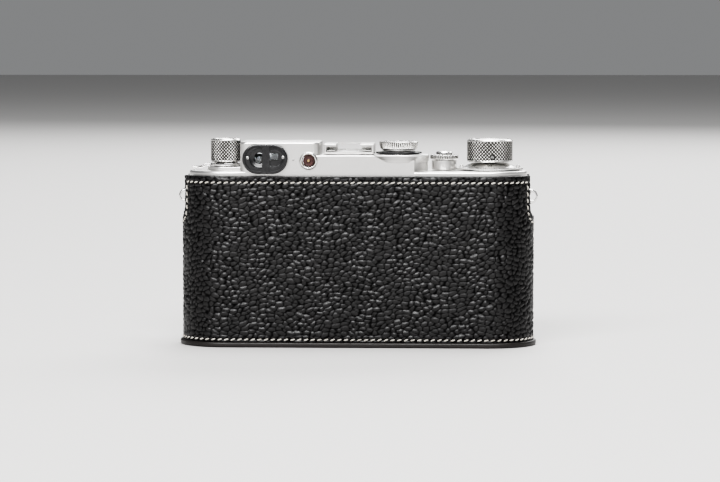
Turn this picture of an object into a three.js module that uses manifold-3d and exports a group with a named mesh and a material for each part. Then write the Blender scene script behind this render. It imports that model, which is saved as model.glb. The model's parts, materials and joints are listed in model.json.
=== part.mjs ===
// A 35 mm rangefinder camera with a collapsible screw-in lens, standing in an open-topped leather half case.
// Millimetres. +X is to the right seen from behind the camera, +Y points out of the lens, +Z is up.
// The origin is the middle of the underside of the case's sole.
// Touching pieces keep a gap of GAP, and pieces that turn are round where they pass through a hole.

import * as THREE from 'three';
import { mergeVertices } from 'three/addons/utils/BufferGeometryUtils.js';
import Module from 'manifold-3d';

const wasm = await Module();
wasm.setup();

// ---------- driving dimensions ----------

const GAP = 0.3;
const END_X = 52.7; // centres of the body's two round ends, which every outline of the body shares
const FINE = 28; // sides of a large round piece
const MEDIUM = 20;
const SMALL = 12;

const CASE = {
  radius: 18.0, wall: 1.7, lining: 0.5, top: 68.0, liningTop: 67.4, wallBottom: 2.1,
  soleRadius: 19.1, soleThickness: 1.8, insoleTop: 5.0,
  frontLeft: -34, frontRight: 41, frontBottom: 14, frontCorner: 12,
  notchHalf: 7.0, notchBottom: 51.6, notchCorner: 5,
};
const CASE_BUSH = { x: 40, flangeRadius: 8.0, bodyRadius: 6.9, boreRadius: 4.75 };

const BODY = {
  coverRadius: 15.2, coverWall: 1.0, coverBottom: 60.8, deck: 69.8,
  skinRadius: 15.0, skin: 0.8, skinBottom: 9.6, skinTop: 60.5,
  shellRadius: 13.9, shellWall: 1.2, shellBottom: 6.8, shellTop: 61.6,
  baseBottom: 5.3, baseFloor: 1.2, baseRimTop: 9.3,
};
const HOUSING = { left: -46.5, step: -14.5, top: 81.5, rear: -15.2, front: 10.6, corner: 3 };
const PLATEAU = {
  top: 76.3, rearRight: 23, tierBottom: 73.4, endRadius: 12.1, lowerRadius: 11.7,
  shelfY: -11.9, shelfTop: 12.1, shelfBottom: 8.6, shelfFlat: 0.45,
};
const STAGE = { radius: 7.3, top: 71.2 };

const REWIND = { x: -53.3, y: 0, radius: 6.05, bottom: 73.0, top: 82.4, neckRadius: 4.8, neckBottom: 71.5 };
const WIND = { x: 53, y: 0, radius: 9.18, bottom: 73.2, top: 82.4, shaftRadius: 2.2 };
const COUNTER = { rim: 13.35, bottom: 70.2, rimTop: 70.9, coneTop: 72.7, pinCircle: 11.4, pinRadius: 0.7 };
const RELEASE = {
  x: 34.7, y: 0, barrel: 4.98, barrelTop: 73.8, collar: 5.65, collarTop: 75.9, button: 3.33, top: 77.3,
};
const DIAL = { x: 16.5, y: -1.5, top: 81.4, rim: 7.9, waist: 7.3, foot: 6.6, bottom: 77.6 };
const SYNC = { radius: 9.25, bottom: 76.6, top: 77.3 };
const SHOE = {
  left: -13.2, right: 6.9, rear: -10.5, front: 8.5, bottom: 76.6, floorTop: 77.4, lipBottom: 79.6,
  top: 80.6, wall: 0.9, mouthLeft: -8.35, mouthRight: 1.35, stopDepth: 1.2, stopThickness: 0.5,
};
const EYEPIECE = { x: -36.2, z: 74.75, width: 18.1, height: 11.9, thickness: 1.8 };
const RANGE_EYE = { x: -38.4, z: 75, radius: 2.2 };
const VIEW_EYE = { x: -32.6, z: 75.7, width: 3.4, height: 2.8 };
const FLASH = { x: -18.95, z: 74.05, outer: 3.62, inner: 2.47 };
const LUG = { z: 59.3, baseX: 68.2, tipX: 72.3, radius: 3.1, hole: 1.55 };
const LEVER_PIVOT = { x: 37.5, y: 9.6 };
const SLOW = { x: 29, z: 52, radius: 6.2 };
const KEY = { x: -53, radius: 8 };
const CAMERA_BUSH = { x: 54, radius: 5.6, boreRadius: 3.2 };

const GEAR = {
  teeth: 20, pitchRadius: 9.14, addendum: 0.8, dedendum: 1.1, bottom: 62.0, top: 63.6, fill: 0.75,
};
const FILM = { plane: -9, gateWidth: 36, gateHeight: 24 };
const ARM = { pivotX: 9.6, pivotY: 8.0, rollerZ: 54.8, rollerRadius: 1.4 };

const LENS = {
  x: -3.2, z: 39.3, flangeRadius: 22, flangeBore: 19.2, flangeFace: 19.8,
  mountRadius: 24, helixOuter: 16.1, helixInner: 15.3, tubeOuter: 13.2, tubeInner: 12.2,
  headRadius: 17.2, headRear: 47, front: 57,
};

// ---------- finishes ----------

const FINISHES = {
  leather: { color: 0x1f1c1b, roughness: 0.62, metalness: 0 },
  suede: { color: 0x4a3a30, roughness: 0.95, metalness: 0 },
  board: { color: 0x2b2522, roughness: 0.85, metalness: 0 },
  chrome: { color: 0xc8c6c1, roughness: 0.34, metalness: 1 },
  steel: { color: 0x8f8f8e, roughness: 0.4, metalness: 1 },
  brass: { color: 0xa8874a, roughness: 0.4, metalness: 1 },
  alloy: { color: 0x9a9a98, roughness: 0.55, metalness: 1 },
  black: { color: 0x121212, roughness: 0.4, metalness: 0.2 },
  vulcanite: { color: 0x171717, roughness: 0.7, metalness: 0 },
  cloth: { color: 0x151515, roughness: 0.95, metalness: 0 },
  glass: { color: 0x39434f, roughness: 0.05, metalness: 0 },
};

// ---------- shape helpers ----------

function toSolid(geometry) {
  const bare = geometry.clone();
  bare.deleteAttribute('normal');
  bare.deleteAttribute('uv');
  const merged = mergeVertices(bare);
  return new wasm.Manifold(new wasm.Mesh({
    numProp: 3,
    vertProperties: merged.attributes.position.array,
    triVerts: Uint32Array.from(merged.index.array),
  }));
}

function toGeometry(solid) {
  const surface = solid.getMesh();
  const geometry = new THREE.BufferGeometry();
  geometry.setAttribute('position', new THREE.BufferAttribute(surface.vertProperties, 3));
  geometry.setIndex(new THREE.BufferAttribute(surface.triVerts, 1));
  geometry.computeVertexNormals();
  return geometry;
}

const join = (...pieces) => toGeometry(pieces.map(toSolid).reduce((whole, piece) => whole.add(piece)));
const cut = (body, ...tools) => toGeometry(
  tools.map(toSolid).reduce((left, tool) => left.subtract(tool), toSolid(body)));

// Profiles are [radius, height] points, listed so that the outer side runs upwards.
function turned(points, sides = FINE) {
  return new THREE.LatheGeometry(points.map(([r, h]) => new THREE.Vector2(r, h)), sides).rotateX(Math.PI / 2);
}

function turnedAlongY(points, sides = FINE) {
  return new THREE.LatheGeometry(points.map(([r, y]) => new THREE.Vector2(r, y)), sides);
}

const rodPoints = (radius, low, high) => [[0, low], [radius, low], [radius, high], [0, high]];
const ringPoints = (inner, outer, low, high) => [
  [inner, low], [outer, low], [outer, high], [inner, high], [inner, low],
];
const rod = (radius, low, high, sides) => turned(rodPoints(radius, low, high), sides);
const ring = (inner, outer, low, high, sides) => turned(ringPoints(inner, outer, low, high), sides);
const rodAlongY = (radius, low, high, sides) => turnedAlongY(rodPoints(radius, low, high), sides);
const ringAlongY = (inner, outer, low, high, sides) => (
  turnedAlongY(ringPoints(inner, outer, low, high), sides));

function block(x0, x1, y0, y1, z0, z1) {
  const box = new THREE.BoxGeometry(x1 - x0, y1 - y0, z1 - z0);
  return box.translate((x0 + x1) / 2, (y0 + y1) / 2, (z0 + z1) / 2);
}

function upright(shape, low, high, curveSegments = 8) {
  const options = { depth: high - low, bevelEnabled: false, curveSegments };
  return new THREE.ExtrudeGeometry(shape, options).translate(0, 0, low);
}

// The outline is drawn in X and Z, and runs from y = low to y = high.
function alongY(shape, low, high, curveSegments = 6) {
  const options = { depth: high - low, bevelEnabled: false, curveSegments };
  return new THREE.ExtrudeGeometry(shape, options).rotateX(Math.PI / 2).translate(0, high, 0);
}

// The outline is drawn in Y and Z, and runs from x = low to x = high.
function alongX(shape, low, high, curveSegments = 4) {
  const options = { depth: high - low, bevelEnabled: false, curveSegments };
  const turn = new THREE.Matrix4().makeBasis(
    new THREE.Vector3(0, 1, 0), new THREE.Vector3(0, 0, 1), new THREE.Vector3(1, 0, 0));
  return new THREE.ExtrudeGeometry(shape, options).applyMatrix4(turn).translate(low, 0, 0);
}

// A slot shape centred on (x, y): a straight middle with a half circle at each end.
function slot(halfSpan, radius, x = 0, y = 0) {
  const shape = new THREE.Shape();
  shape.absarc(x + halfSpan, y, radius, -Math.PI / 2, Math.PI / 2, false);
  shape.absarc(x - halfSpan, y, radius, Math.PI / 2, 1.5 * Math.PI, false);
  shape.closePath();
  return shape;
}

const bodyOutline = (radius) => slot(END_X, radius);

function bodyBand(outer, inner, low, high) {
  const shape = bodyOutline(outer);
  shape.holes.push(bodyOutline(inner));
  return upright(shape, low, high);
}

function roundedRectangle(x0, x1, y0, y1, radius) {
  const shape = new THREE.Shape();
  shape.absarc(x1 - radius, y0 + radius, radius, -Math.PI / 2, 0, false);
  shape.absarc(x1 - radius, y1 - radius, radius, 0, Math.PI / 2, false);
  shape.absarc(x0 + radius, y1 - radius, radius, Math.PI / 2, Math.PI, false);
  shape.absarc(x0 + radius, y0 + radius, radius, Math.PI, 1.5 * Math.PI, false);
  shape.closePath();
  return shape;
}

function gearOutline(teeth, pitchRadius, addendum, dedendum, fill, phase) {
  const pitch = 2 * Math.PI / teeth;
  const corners = [
    [pitchRadius - dedendum, -0.34], [pitchRadius + addendum, -0.13],
    [pitchRadius + addendum, 0.13], [pitchRadius - dedendum, 0.34],
  ];
  const points = [];
  for (let tooth = 0; tooth < teeth; tooth += 1) {
    for (const [radius, share] of corners) {
      const angle = phase + (tooth + share * fill) * pitch;
      points.push(new THREE.Vector2(radius * Math.cos(angle), radius * Math.sin(angle)));
    }
  }
  return new THREE.Shape(points);
}

function gearWheel(phase, bore) {
  const outline = gearOutline(GEAR.teeth, GEAR.pitchRadius, GEAR.addendum, GEAR.dedendum, GEAR.fill, phase);
  const hole = new THREE.Path();
  hole.absarc(0, 0, bore, 0, 2 * Math.PI, true);
  outline.holes.push(hole);
  return upright(outline, GEAR.bottom, GEAR.top, 6);
}

function piece(name, finish, geometry, position = [0, 0, 0]) {
  const mesh = new THREE.Mesh(geometry, new THREE.MeshStandardMaterial(FINISHES[finish]));
  mesh.name = name;
  mesh.position.set(...position);
  return mesh;
}

function group(position, ...pieces) {
  const holder = new THREE.Group();
  holder.position.set(...position);
  holder.add(...pieces);
  return holder;
}

// ---------- leather half case ----------

// The lens cut-out in the front and the two strap-lug notches are open at the top, so the camera lifts out.
function caseOpenings(grow) {
  const top = CASE.top + 10;
  const front = roundedRectangle(CASE.frontLeft - grow, CASE.frontRight + grow,
    CASE.frontBottom - grow, top, CASE.frontCorner);
  const notch = roundedRectangle(-CASE.notchHalf - grow, CASE.notchHalf + grow,
    CASE.notchBottom - grow, top, CASE.notchCorner);
  return [alongY(front, 5, 25, 4), alongX(notch, 60, 80), alongX(notch, -80, -60)];
}

function caseWall() {
  const band = bodyBand(CASE.radius, CASE.radius - CASE.wall, CASE.wallBottom, CASE.top);
  return cut(band, ...caseOpenings(0));
}

function caseLining() {
  const outer = CASE.radius - CASE.wall - GAP;
  const band = bodyBand(outer, outer - CASE.lining, CASE.insoleTop + GAP, CASE.liningTop);
  return cut(band, ...caseOpenings(0.6));
}

function plateWithHole(radius, low, high, holeX, holeRadius) {
  const shape = bodyOutline(radius);
  const hole = new THREE.Path();
  hole.absarc(holeX, 0, holeRadius, 0, 2 * Math.PI, true);
  shape.holes.push(hole);
  return upright(shape, low, high);
}

function caseBush() {
  return turned([
    [CASE_BUSH.boreRadius, 0], [CASE_BUSH.flangeRadius, 0], [CASE_BUSH.flangeRadius, CASE.soleThickness],
    [CASE_BUSH.bodyRadius, CASE.soleThickness], [CASE_BUSH.bodyRadius, CASE.insoleTop],
    [CASE_BUSH.boreRadius, CASE.insoleTop], [CASE_BUSH.boreRadius, 0],
  ], MEDIUM);
}

function leatherCase() {
  const insoleRadius = CASE.radius - CASE.wall - GAP;
  return group([0, 0, 0],
    piece('case_wall', 'leather', caseWall()),
    piece('case_lining', 'suede', caseLining()),
    piece('case_sole', 'leather',
      plateWithHole(CASE.soleRadius, 0, CASE.soleThickness, CASE_BUSH.x, CASE_BUSH.flangeRadius + GAP)),
    piece('case_insole', 'board',
      plateWithHole(insoleRadius, CASE.wallBottom, CASE.insoleTop, CASE_BUSH.x, CASE_BUSH.bodyRadius + GAP)),
    piece('case_tripod_bush', 'brass', caseBush(), [CASE_BUSH.x, 0, 0]));
}

// ---------- body ----------

function bodyShell() {
  const band = bodyBand(BODY.shellRadius, BODY.shellRadius - BODY.shellWall, BODY.shellBottom, BODY.shellTop);
  const lensHole = rodAlongY(LENS.flangeBore - 0.8, 5, 20).translate(LENS.x, 0, LENS.z);
  return cut(band, lensHole);
}

function bodyCovering() {
  const band = bodyBand(BODY.skinRadius, BODY.skinRadius - BODY.skin, BODY.skinBottom, BODY.skinTop);
  const lensHole = rodAlongY(LENS.flangeBore, 5, 20).translate(LENS.x, 0, LENS.z);
  return cut(band, lensHole);
}

function basePlate() {
  const outer = upright(bodyOutline(BODY.coverRadius), BODY.baseBottom, BODY.baseRimTop);
  const floorTop = BODY.baseBottom + BODY.baseFloor;
  const inner = upright(bodyOutline(BODY.shellRadius + GAP), floorTop, BODY.baseRimTop + 1);
  const keyHole = rod(KEY.radius + GAP, 4, 8, MEDIUM).translate(KEY.x, 0, 0);
  const bushHole = rod(CAMERA_BUSH.radius + GAP, 4, 8, MEDIUM).translate(CAMERA_BUSH.x, 0, 0);
  return cut(outer, inner, keyHole, bushHole);
}

function baseBush() {
  const flangeBottom = BODY.baseBottom + BODY.baseFloor + GAP;
  return turned([
    [CAMERA_BUSH.boreRadius, BODY.baseBottom], [CAMERA_BUSH.radius, BODY.baseBottom],
    [CAMERA_BUSH.radius, flangeBottom], [7, flangeBottom], [7, 8], [CAMERA_BUSH.radius, 8],
    [CAMERA_BUSH.radius, 10.5], [CAMERA_BUSH.boreRadius, 10.5], [CAMERA_BUSH.boreRadius, BODY.baseBottom],
  ], MEDIUM);
}

// A sunk disc with a folded finger bar, and a cam above the floor that hooks onto the body.
function baseKey() {
  const disc = turned([
    [0, 5.9], [KEY.radius, 5.9], [KEY.radius, 6.8], [9.6, 6.8], [9.6, 7.8], [0, 7.8],
  ], MEDIUM);
  const spindle = rod(2.5, 7.7, 12, SMALL);
  const fingerBar = block(-6, 6, -1.2, 1.2, 5.4, 6);
  return join(disc, spindle, fingerBar);
}

// ---------- top cover ----------

function plateauOutline(inset, endRadius) {
  const rear = HOUSING.rear + inset;
  const front = DIAL.y + endRadius;
  const shape = new THREE.Shape();
  shape.moveTo(HOUSING.left + 10, rear);
  shape.lineTo(PLATEAU.rearRight - inset, rear);
  const start = Math.atan2(-Math.sqrt(endRadius ** 2 - (PLATEAU.rearRight - inset - DIAL.x) ** 2),
    PLATEAU.rearRight - inset - DIAL.x);
  shape.absarc(DIAL.x, DIAL.y, endRadius, start, Math.PI / 2, false);
  shape.lineTo(HOUSING.left + 10, front);
  shape.closePath();
  return shape;
}

function housingBlock(inset) {
  const outline = roundedRectangle(HOUSING.left + inset, HOUSING.step - inset,
    HOUSING.rear + inset, HOUSING.front - inset, HOUSING.corner - inset);
  return upright(outline, BODY.deck - 1, HOUSING.top - inset, 4);
}

function dialShelf() {
  const height = PLATEAU.top - PLATEAU.tierBottom;
  return new THREE.CylinderGeometry(PLATEAU.shelfTop, PLATEAU.shelfBottom, height, FINE)
    .rotateX(Math.PI / 2).scale(1, PLATEAU.shelfFlat, 1)
    .translate(DIAL.x, PLATEAU.shelfY, PLATEAU.top - height / 2);
}

function rewindStage() {
  const round = rod(STAGE.radius, BODY.deck - 1, STAGE.top, FINE).translate(REWIND.x, REWIND.y, 0);
  const bridge = block(REWIND.x, HOUSING.left + 1, -STAGE.radius, STAGE.radius, BODY.deck - 1, STAGE.top);
  return [round, bridge];
}

function coverOutside() {
  return join(
    upright(bodyOutline(BODY.coverRadius), BODY.coverBottom, BODY.deck),
    housingBlock(0),
    upright(plateauOutline(0, PLATEAU.lowerRadius), BODY.deck - 1, PLATEAU.tierBottom),
    upright(plateauOutline(0, PLATEAU.endRadius), PLATEAU.tierBottom, PLATEAU.top),
    dialShelf(),
    ...rewindStage());
}

function coverInside() {
  const wall = BODY.coverWall;
  return join(
    upright(bodyOutline(BODY.coverRadius - wall), BODY.coverBottom - 1, BODY.deck - wall),
    housingBlock(wall).translate(0, 0, -wall),
    housingBlock(wall),
    upright(plateauOutline(wall, PLATEAU.lowerRadius - wall), BODY.deck - 2, PLATEAU.top - wall));
}

function eyepieceHoles() {
  const range = rodAlongY(RANGE_EYE.radius + 0.8, -20, -10, SMALL).translate(RANGE_EYE.x, 0, RANGE_EYE.z);
  const view = block(VIEW_EYE.x - 2.6, VIEW_EYE.x + 2.6, -20, -10, VIEW_EYE.z - 2.4, VIEW_EYE.z + 2.4);
  const flash = rodAlongY(FLASH.inner, -20, -10, SMALL).translate(FLASH.x, 0, FLASH.z);
  return [range, view, flash];
}

const FRONT_WINDOWS = {
  near: { x: RANGE_EYE.x, z: 75, outer: 4.1, inner: 2.9 },
  far: { x: RANGE_EYE.x + 39, z: 73.1, outer: 3.1, inner: 2.1 },
  view: { x: -26.6, z: 75, halfWidth: 5.4, halfHeight: 4.3, rim: 1.1 },
};

function windowHoles() {
  const round = [FRONT_WINDOWS.near, FRONT_WINDOWS.far].map(({ x, z, inner }) =>
    rodAlongY(inner, 5, 15, SMALL).translate(x, 0, z));
  const { x, z, halfWidth, halfHeight, rim } = FRONT_WINDOWS.view;
  const pane = block(x - halfWidth + rim, x + halfWidth - rim, 5, 15,
    z - halfHeight + rim, z + halfHeight - rim);
  return [...round, pane];
}

function shaftHoles() {
  const holes = [
    [REWIND.x, REWIND.y, 3.4], [WIND.x, WIND.y, 2.6], [RELEASE.x, RELEASE.y, 1.9],
    [DIAL.x, DIAL.y, 2.8], [LEVER_PIVOT.x, LEVER_PIVOT.y, 1.2],
  ];
  return holes.map(([x, y, radius]) => rod(radius, 65, 85, SMALL).translate(x, y, 0));
}

function topCover() {
  return cut(coverOutside(), coverInside(), ...eyepieceHoles(), ...windowHoles(), ...shaftHoles());
}

// ---------- what sits on the rear and front of the housing ----------

function eyepieceBezel() {
  const rear = HOUSING.rear - GAP - EYEPIECE.thickness;
  const radius = EYEPIECE.height / 2;
  const plate = alongY(slot(EYEPIECE.width / 2 - radius, radius, EYEPIECE.x, EYEPIECE.z),
    rear, HOUSING.rear - GAP, 8);
  const rangeDish = turnedAlongY([
    [0, rear - 1], [4.3, rear - 1], [RANGE_EYE.radius, rear + 1.2], [0, rear + 1.2],
  ], MEDIUM).translate(RANGE_EYE.x, 0, RANGE_EYE.z);
  const rangeHole = rodAlongY(RANGE_EYE.radius, rear, -10, MEDIUM).translate(RANGE_EYE.x, 0, RANGE_EYE.z);
  const viewHole = block(VIEW_EYE.x - VIEW_EYE.width / 2, VIEW_EYE.x + VIEW_EYE.width / 2, rear - 1, -10,
    VIEW_EYE.z - VIEW_EYE.height / 2, VIEW_EYE.z + VIEW_EYE.height / 2);
  return cut(plate, rangeDish, rangeHole, viewHole);
}

// Plano-convex glass with its flat side towards -Y.
function convexGlass(radius, rear, edge, bulge) {
  return turnedAlongY([
    [0, rear], [radius, rear], [radius, rear + edge], [radius * 0.7, rear + edge + bulge * 0.5],
    [radius * 0.35, rear + edge + bulge * 0.88], [0, rear + edge + bulge],
  ], MEDIUM);
}

function eyepieceGlasses() {
  const glassRear = HOUSING.rear - 0.9;
  const halfWidth = VIEW_EYE.width / 2 - GAP;
  const halfHeight = VIEW_EYE.height / 2 - GAP;
  return [
    piece('rangefinder_eyepiece_lens', 'glass', convexGlass(RANGE_EYE.radius - GAP, glassRear, 1.2, 0.6),
      [RANGE_EYE.x, 0, RANGE_EYE.z]),
    piece('viewfinder_eyepiece_lens', 'glass', block(VIEW_EYE.x - halfWidth, VIEW_EYE.x + halfWidth,
      glassRear, glassRear + 1.5, VIEW_EYE.z - halfHeight, VIEW_EYE.z + halfHeight)),
  ];
}

// A rimmed window: the rim stands proud of the pane it holds.
function roundWindow({ outer, inner }) {
  const rear = HOUSING.front + GAP;
  return turnedAlongY([
    [0, rear], [outer, rear], [outer, rear + 1.3], [inner, rear + 1.3], [inner, rear + 0.7], [0, rear + 0.7],
  ], MEDIUM);
}

const windowPlace = ({ x, z }) => [x, 0, z];

function viewWindow() {
  const { x, z, halfWidth, halfHeight, rim } = FRONT_WINDOWS.view;
  const rear = HOUSING.front + GAP;
  const outer = roundedRectangle(x - halfWidth, x + halfWidth, z - halfHeight, z + halfHeight, 1.4);
  const pane = block(x - halfWidth + rim, x + halfWidth - rim, rear + 0.7, rear + 2,
    z - halfHeight + rim, z + halfHeight - rim);
  return cut(alongY(outer, rear, rear + 1.3, 3), pane);
}

function flashSocket() {
  const rear = HOUSING.rear - GAP;
  return [
    piece('flash_socket_ring', 'chrome', ringAlongY(FLASH.inner, FLASH.outer, rear - 0.9, rear, MEDIUM),
      [FLASH.x, 0, FLASH.z]),
    piece('flash_socket_core', 'black', join(rodAlongY(FLASH.inner - GAP, rear - 0.2, rear + 3, SMALL),
      rodAlongY(0.5, rear - 0.8, rear, 8)), [FLASH.x, 0, FLASH.z]),
  ];
}

// Two folded rails joined at the front by a thin stop bar.
function accessoryShoe() {
  const { left, right, rear, front, wall, floorTop, lipBottom, mouthLeft, mouthRight } = SHOE;
  const stopRear = front - SHOE.stopDepth;
  const outer = block(left, right, rear, front, SHOE.bottom, SHOE.top);
  const channel = block(left + wall, right - wall, rear - 1, stopRear, floorTop, lipBottom);
  const mouth = block(mouthLeft, mouthRight, rear - 1, stopRear, lipBottom - 1, SHOE.top + 1);
  const frontGap = block(mouthLeft, mouthRight, rear - 1, front + 1, floorTop, SHOE.top - SHOE.stopThickness);
  return cut(outer, channel, mouth, frontGap);
}

// A flat U of spring steel whose two legs lie under the lips.
function shoeSpring() {
  const edge = SHOE.wall + GAP;
  const low = SHOE.floorTop + GAP;
  const outer = block(SHOE.left + edge, SHOE.right - edge, SHOE.rear + 2, SHOE.front - 2, low, low + 0.5);
  const inner = block(SHOE.mouthLeft - 0.6, SHOE.mouthRight + 0.6, SHOE.rear, SHOE.front - 4,
    low - 1, low + 2);
  return cut(outer, inner);
}

function strapLug(side) {
  const tab = new THREE.Shape();
  const centre = LUG.tipX - LUG.radius;
  tab.moveTo(LUG.baseX, -LUG.radius);
  tab.absarc(centre, 0, LUG.radius, -Math.PI / 2, Math.PI / 2, false);
  tab.lineTo(LUG.baseX, LUG.radius);
  tab.closePath();
  const eyelet = alongY(tab, -1.1, 1.1, 6);
  const base = block(LUG.baseX, LUG.baseX + 0.7, -3.2, 3.2, -4.4, 4.4);
  const hole = rodAlongY(LUG.hole, -5, 5, SMALL).translate(LUG.tipX - 2.2, 0, 0);
  const lug = cut(join(eyelet, base), hole);
  return side > 0 ? lug : lug.rotateZ(Math.PI);
}

// ---------- knobs, dials and levers on the top ----------

function rewindKnob() {
  const bore = 1.6;
  return turned([
    [0, 58], [bore, 58], [bore, REWIND.neckBottom], [REWIND.neckRadius - 0.7, REWIND.neckBottom],
    [REWIND.neckRadius, REWIND.bottom], [REWIND.radius - 0.4, REWIND.bottom],
    [REWIND.radius, REWIND.bottom + 0.4], [REWIND.radius, REWIND.top - 0.6],
    [REWIND.radius - 0.6, REWIND.top], [0, REWIND.top],
  ]);
}

function rewindFork() {
  const sleeve = ring(1.9, 3.0, 55, 71.2, MEDIUM);
  const plug = rod(3.0, 54, 56, MEDIUM);
  const prongs = [-1, 1].map((side) => block(side * 1.9 - 0.5, side * 1.9 + 0.5, -0.8, 0.8, 49, 54.5));
  return join(sleeve, plug, ...prongs);
}

// A ring round the rewind neck with an arm that bends down to a finger tab over the deck.
function diopterLever() {
  const collar = ring(REWIND.neckRadius + 0.4, 6.6, 71.5, 72.5, MEDIUM);
  const side = new THREE.Shape([
    [-13.4, 70.5], [-9.4, 70.5], [-7.9, 71.5], [-5.8, 71.5],
    [-5.8, 72.5], [-8.3, 72.4], [-9.8, 71.3], [-13.4, 71.3],
  ].map(([x, z]) => new THREE.Vector2(x, z)));
  return join(collar, alongY(side, -2.4, 2.4));
}

function windKnob() {
  const bore = WIND.shaftRadius + GAP;
  const knob = turned([
    [bore, WIND.bottom], [WIND.radius - 0.4, WIND.bottom], [WIND.radius, WIND.bottom + 0.4],
    [WIND.radius, WIND.top - 0.7], [WIND.radius - 0.7, WIND.top - 0.2], [7.6, WIND.top],
    [7.6, WIND.top - 1.2], [bore, WIND.top - 1.2], [bore, WIND.bottom],
  ], FINE);
  return cut(knob, setScrewHole());
}

const SET_SCREW = { angle: 0.143, z: 75.3, bore: 1.05 };

function setScrewHole() {
  return rodAlongY(SET_SCREW.bore, -12, -2, SMALL).rotateZ(SET_SCREW.angle).translate(0, 0, SET_SCREW.z);
}

function reminderDisc() {
  return turned([
    [0, WIND.top - 0.9], [7.3, WIND.top - 0.9], [7.3, WIND.top - 0.1], [0, WIND.top + 0.1],
  ], MEDIUM);
}

// The winding pinion is cut on its shaft.
function windShaft() {
  return join(rod(WIND.shaftRadius, 13, 80.5, MEDIUM), gearWheel(gearPhases().wind, WIND.shaftRadius - 0.4));
}

function counterDial() {
  const bore = WIND.shaftRadius + GAP;
  const dial = turned([
    [bore, COUNTER.bottom], [COUNTER.rim, COUNTER.bottom], [COUNTER.rim, COUNTER.rimTop],
    [10.4, COUNTER.rimTop + 0.2], [7.3, COUNTER.coneTop], [bore, COUNTER.coneTop], [bore, COUNTER.bottom],
  ], FINE);
  const pin = rod(COUNTER.pinRadius, COUNTER.rimTop - 0.3, COUNTER.rimTop + 1.2, 10);
  const pins = [-0.12, Math.PI + 0.12].map((angle) => (
    pin.clone().translate(COUNTER.pinCircle * Math.cos(angle), COUNTER.pinCircle * Math.sin(angle), 0)));
  return join(dial, ...pins);
}

function takeUpSpool() {
  return turned([
    [2.5, 14], [10.3, 14], [10.3, 15], [5.5, 15.4], [5.5, 54.4],
    [10.3, 54.8], [10.3, 55.8], [2.5, 55.8], [2.5, 14],
  ], MEDIUM);
}

function filmSprocket() {
  const roller = turned([
    [0, 13], [1.5, 13], [1.5, 20], [4.6, 20], [4.6, 57], [1.5, 57], [1.5, 64.2], [0, 64.2],
  ], MEDIUM);
  const teeth = [22, 53].map((z) => upright(gearOutline(8, 5.4, 1.1, 1.2, 0.8, 0), z, z + 1.4));
  return join(roller, ...teeth);
}

function shutterDrum() {
  return turned([
    [0, 14], [1.5, 14], [1.5, 21], [4.8, 21], [4.8, 57.5], [1.5, 57.5], [1.5, 79], [0, 79],
  ], MEDIUM);
}

// The drum's wheel is turned so that its gap faces the sprocket wheel's tooth.
function gearPhases() {
  const pitch = 2 * Math.PI / GEAR.teeth;
  const towardsDrum = Math.atan2(DIAL.y - RELEASE.y, DIAL.x - RELEASE.x);
  const sprocket = pitch / 2;
  return { wind: 0, sprocket, drum: 2 * towardsDrum + Math.PI - sprocket + pitch / 2 };
}

function speedDial() {
  const bore = 2.8;
  return turned([
    [bore, DIAL.bottom], [DIAL.foot, DIAL.bottom], [DIAL.foot, DIAL.bottom + 0.5],
    [DIAL.waist, DIAL.bottom + 0.8],
    [DIAL.rim, DIAL.top - 0.4], [DIAL.rim - 0.4, DIAL.top], [0, DIAL.top], [0, DIAL.top - 1.2],
    [bore, DIAL.top - 1.2], [bore, DIAL.bottom],
  ], FINE);
}

function releaseBarrel() {
  return turned([
    [RELEASE.button + GAP, 71.2], [RELEASE.button + GAP, RELEASE.barrelTop],
    [RELEASE.barrel, RELEASE.barrelTop], [RELEASE.barrel, BODY.deck + GAP],
    [1.9, BODY.deck + GAP], [1.9, 71.2], [RELEASE.button + GAP, 71.2],
  ].reverse(), MEDIUM);
}

function releaseButton() {
  return turned([
    [0, 67], [1.5, 67], [1.5, 74], [RELEASE.button, 74], [RELEASE.button, RELEASE.top - 0.4],
    [RELEASE.button - 0.5, RELEASE.top], [1.2, RELEASE.top - 0.3], [0, RELEASE.top - 1],
  ], MEDIUM);
}

function rewindReleaseLever() {
  const low = BODY.deck + GAP;
  const hub = turned([
    [0, 67.6], [0.9, 67.6], [0.9, low], [1.9, low], [1.9, low + 1.2], [0, low + 1.2],
  ], SMALL);
  const arm = block(-6.5, 0, -0.9, 0.9, low, low + 0.8);
  const finger = rod(1.3, low, low + 1.7, SMALL).translate(-6.2, 0, 0);
  return join(hub, arm, finger);
}

function slowDial() {
  return turnedAlongY([
    [0, 16.6], [5.6, 16.6], [SLOW.radius, 17], [SLOW.radius, 20], [SLOW.radius - 0.6, 20.6], [0, 20.6],
  ], MEDIUM);
}

// ---------- shutter and film path ----------

function filmGate() {
  const plate = block(-28, 24, FILM.plane + 0.4, FILM.plane + 1.6, 19, 60);
  const opening = block(LENS.x - FILM.gateWidth / 2, LENS.x + FILM.gateWidth / 2,
    FILM.plane - 2, FILM.plane + 3, LENS.z - FILM.gateHeight / 2, LENS.z + FILM.gateHeight / 2);
  return cut(plate, opening);
}

function shutterFrame() {
  const [left, right, rear, front] = [-29, 26, -6.2, 11.2];
  const bottom = block(left, right, rear, front, 17.5, 18.7);
  const top = block(left, right, rear, front, 58.8, 60);
  const side = block(left, left + 1.2, rear, front, 17.5, 60);
  const shafts = [[DIAL.x, DIAL.y, 1.8], [ARM.pivotX, ARM.pivotY, 1.5], [-24.5, -3.5, 1.3]];
  const holes = shafts.map(([x, y, radius]) => rod(radius, 10, 70, SMALL).translate(x, y, 0));
  return cut(join(bottom, top, side), ...holes);
}

function curtainRoller() {
  return turned([
    [0, 16.5], [1, 16.5], [1, 20], [2.5, 20], [2.5, 58], [1, 58], [1, 61], [0, 61],
  ], SMALL);
}

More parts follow.
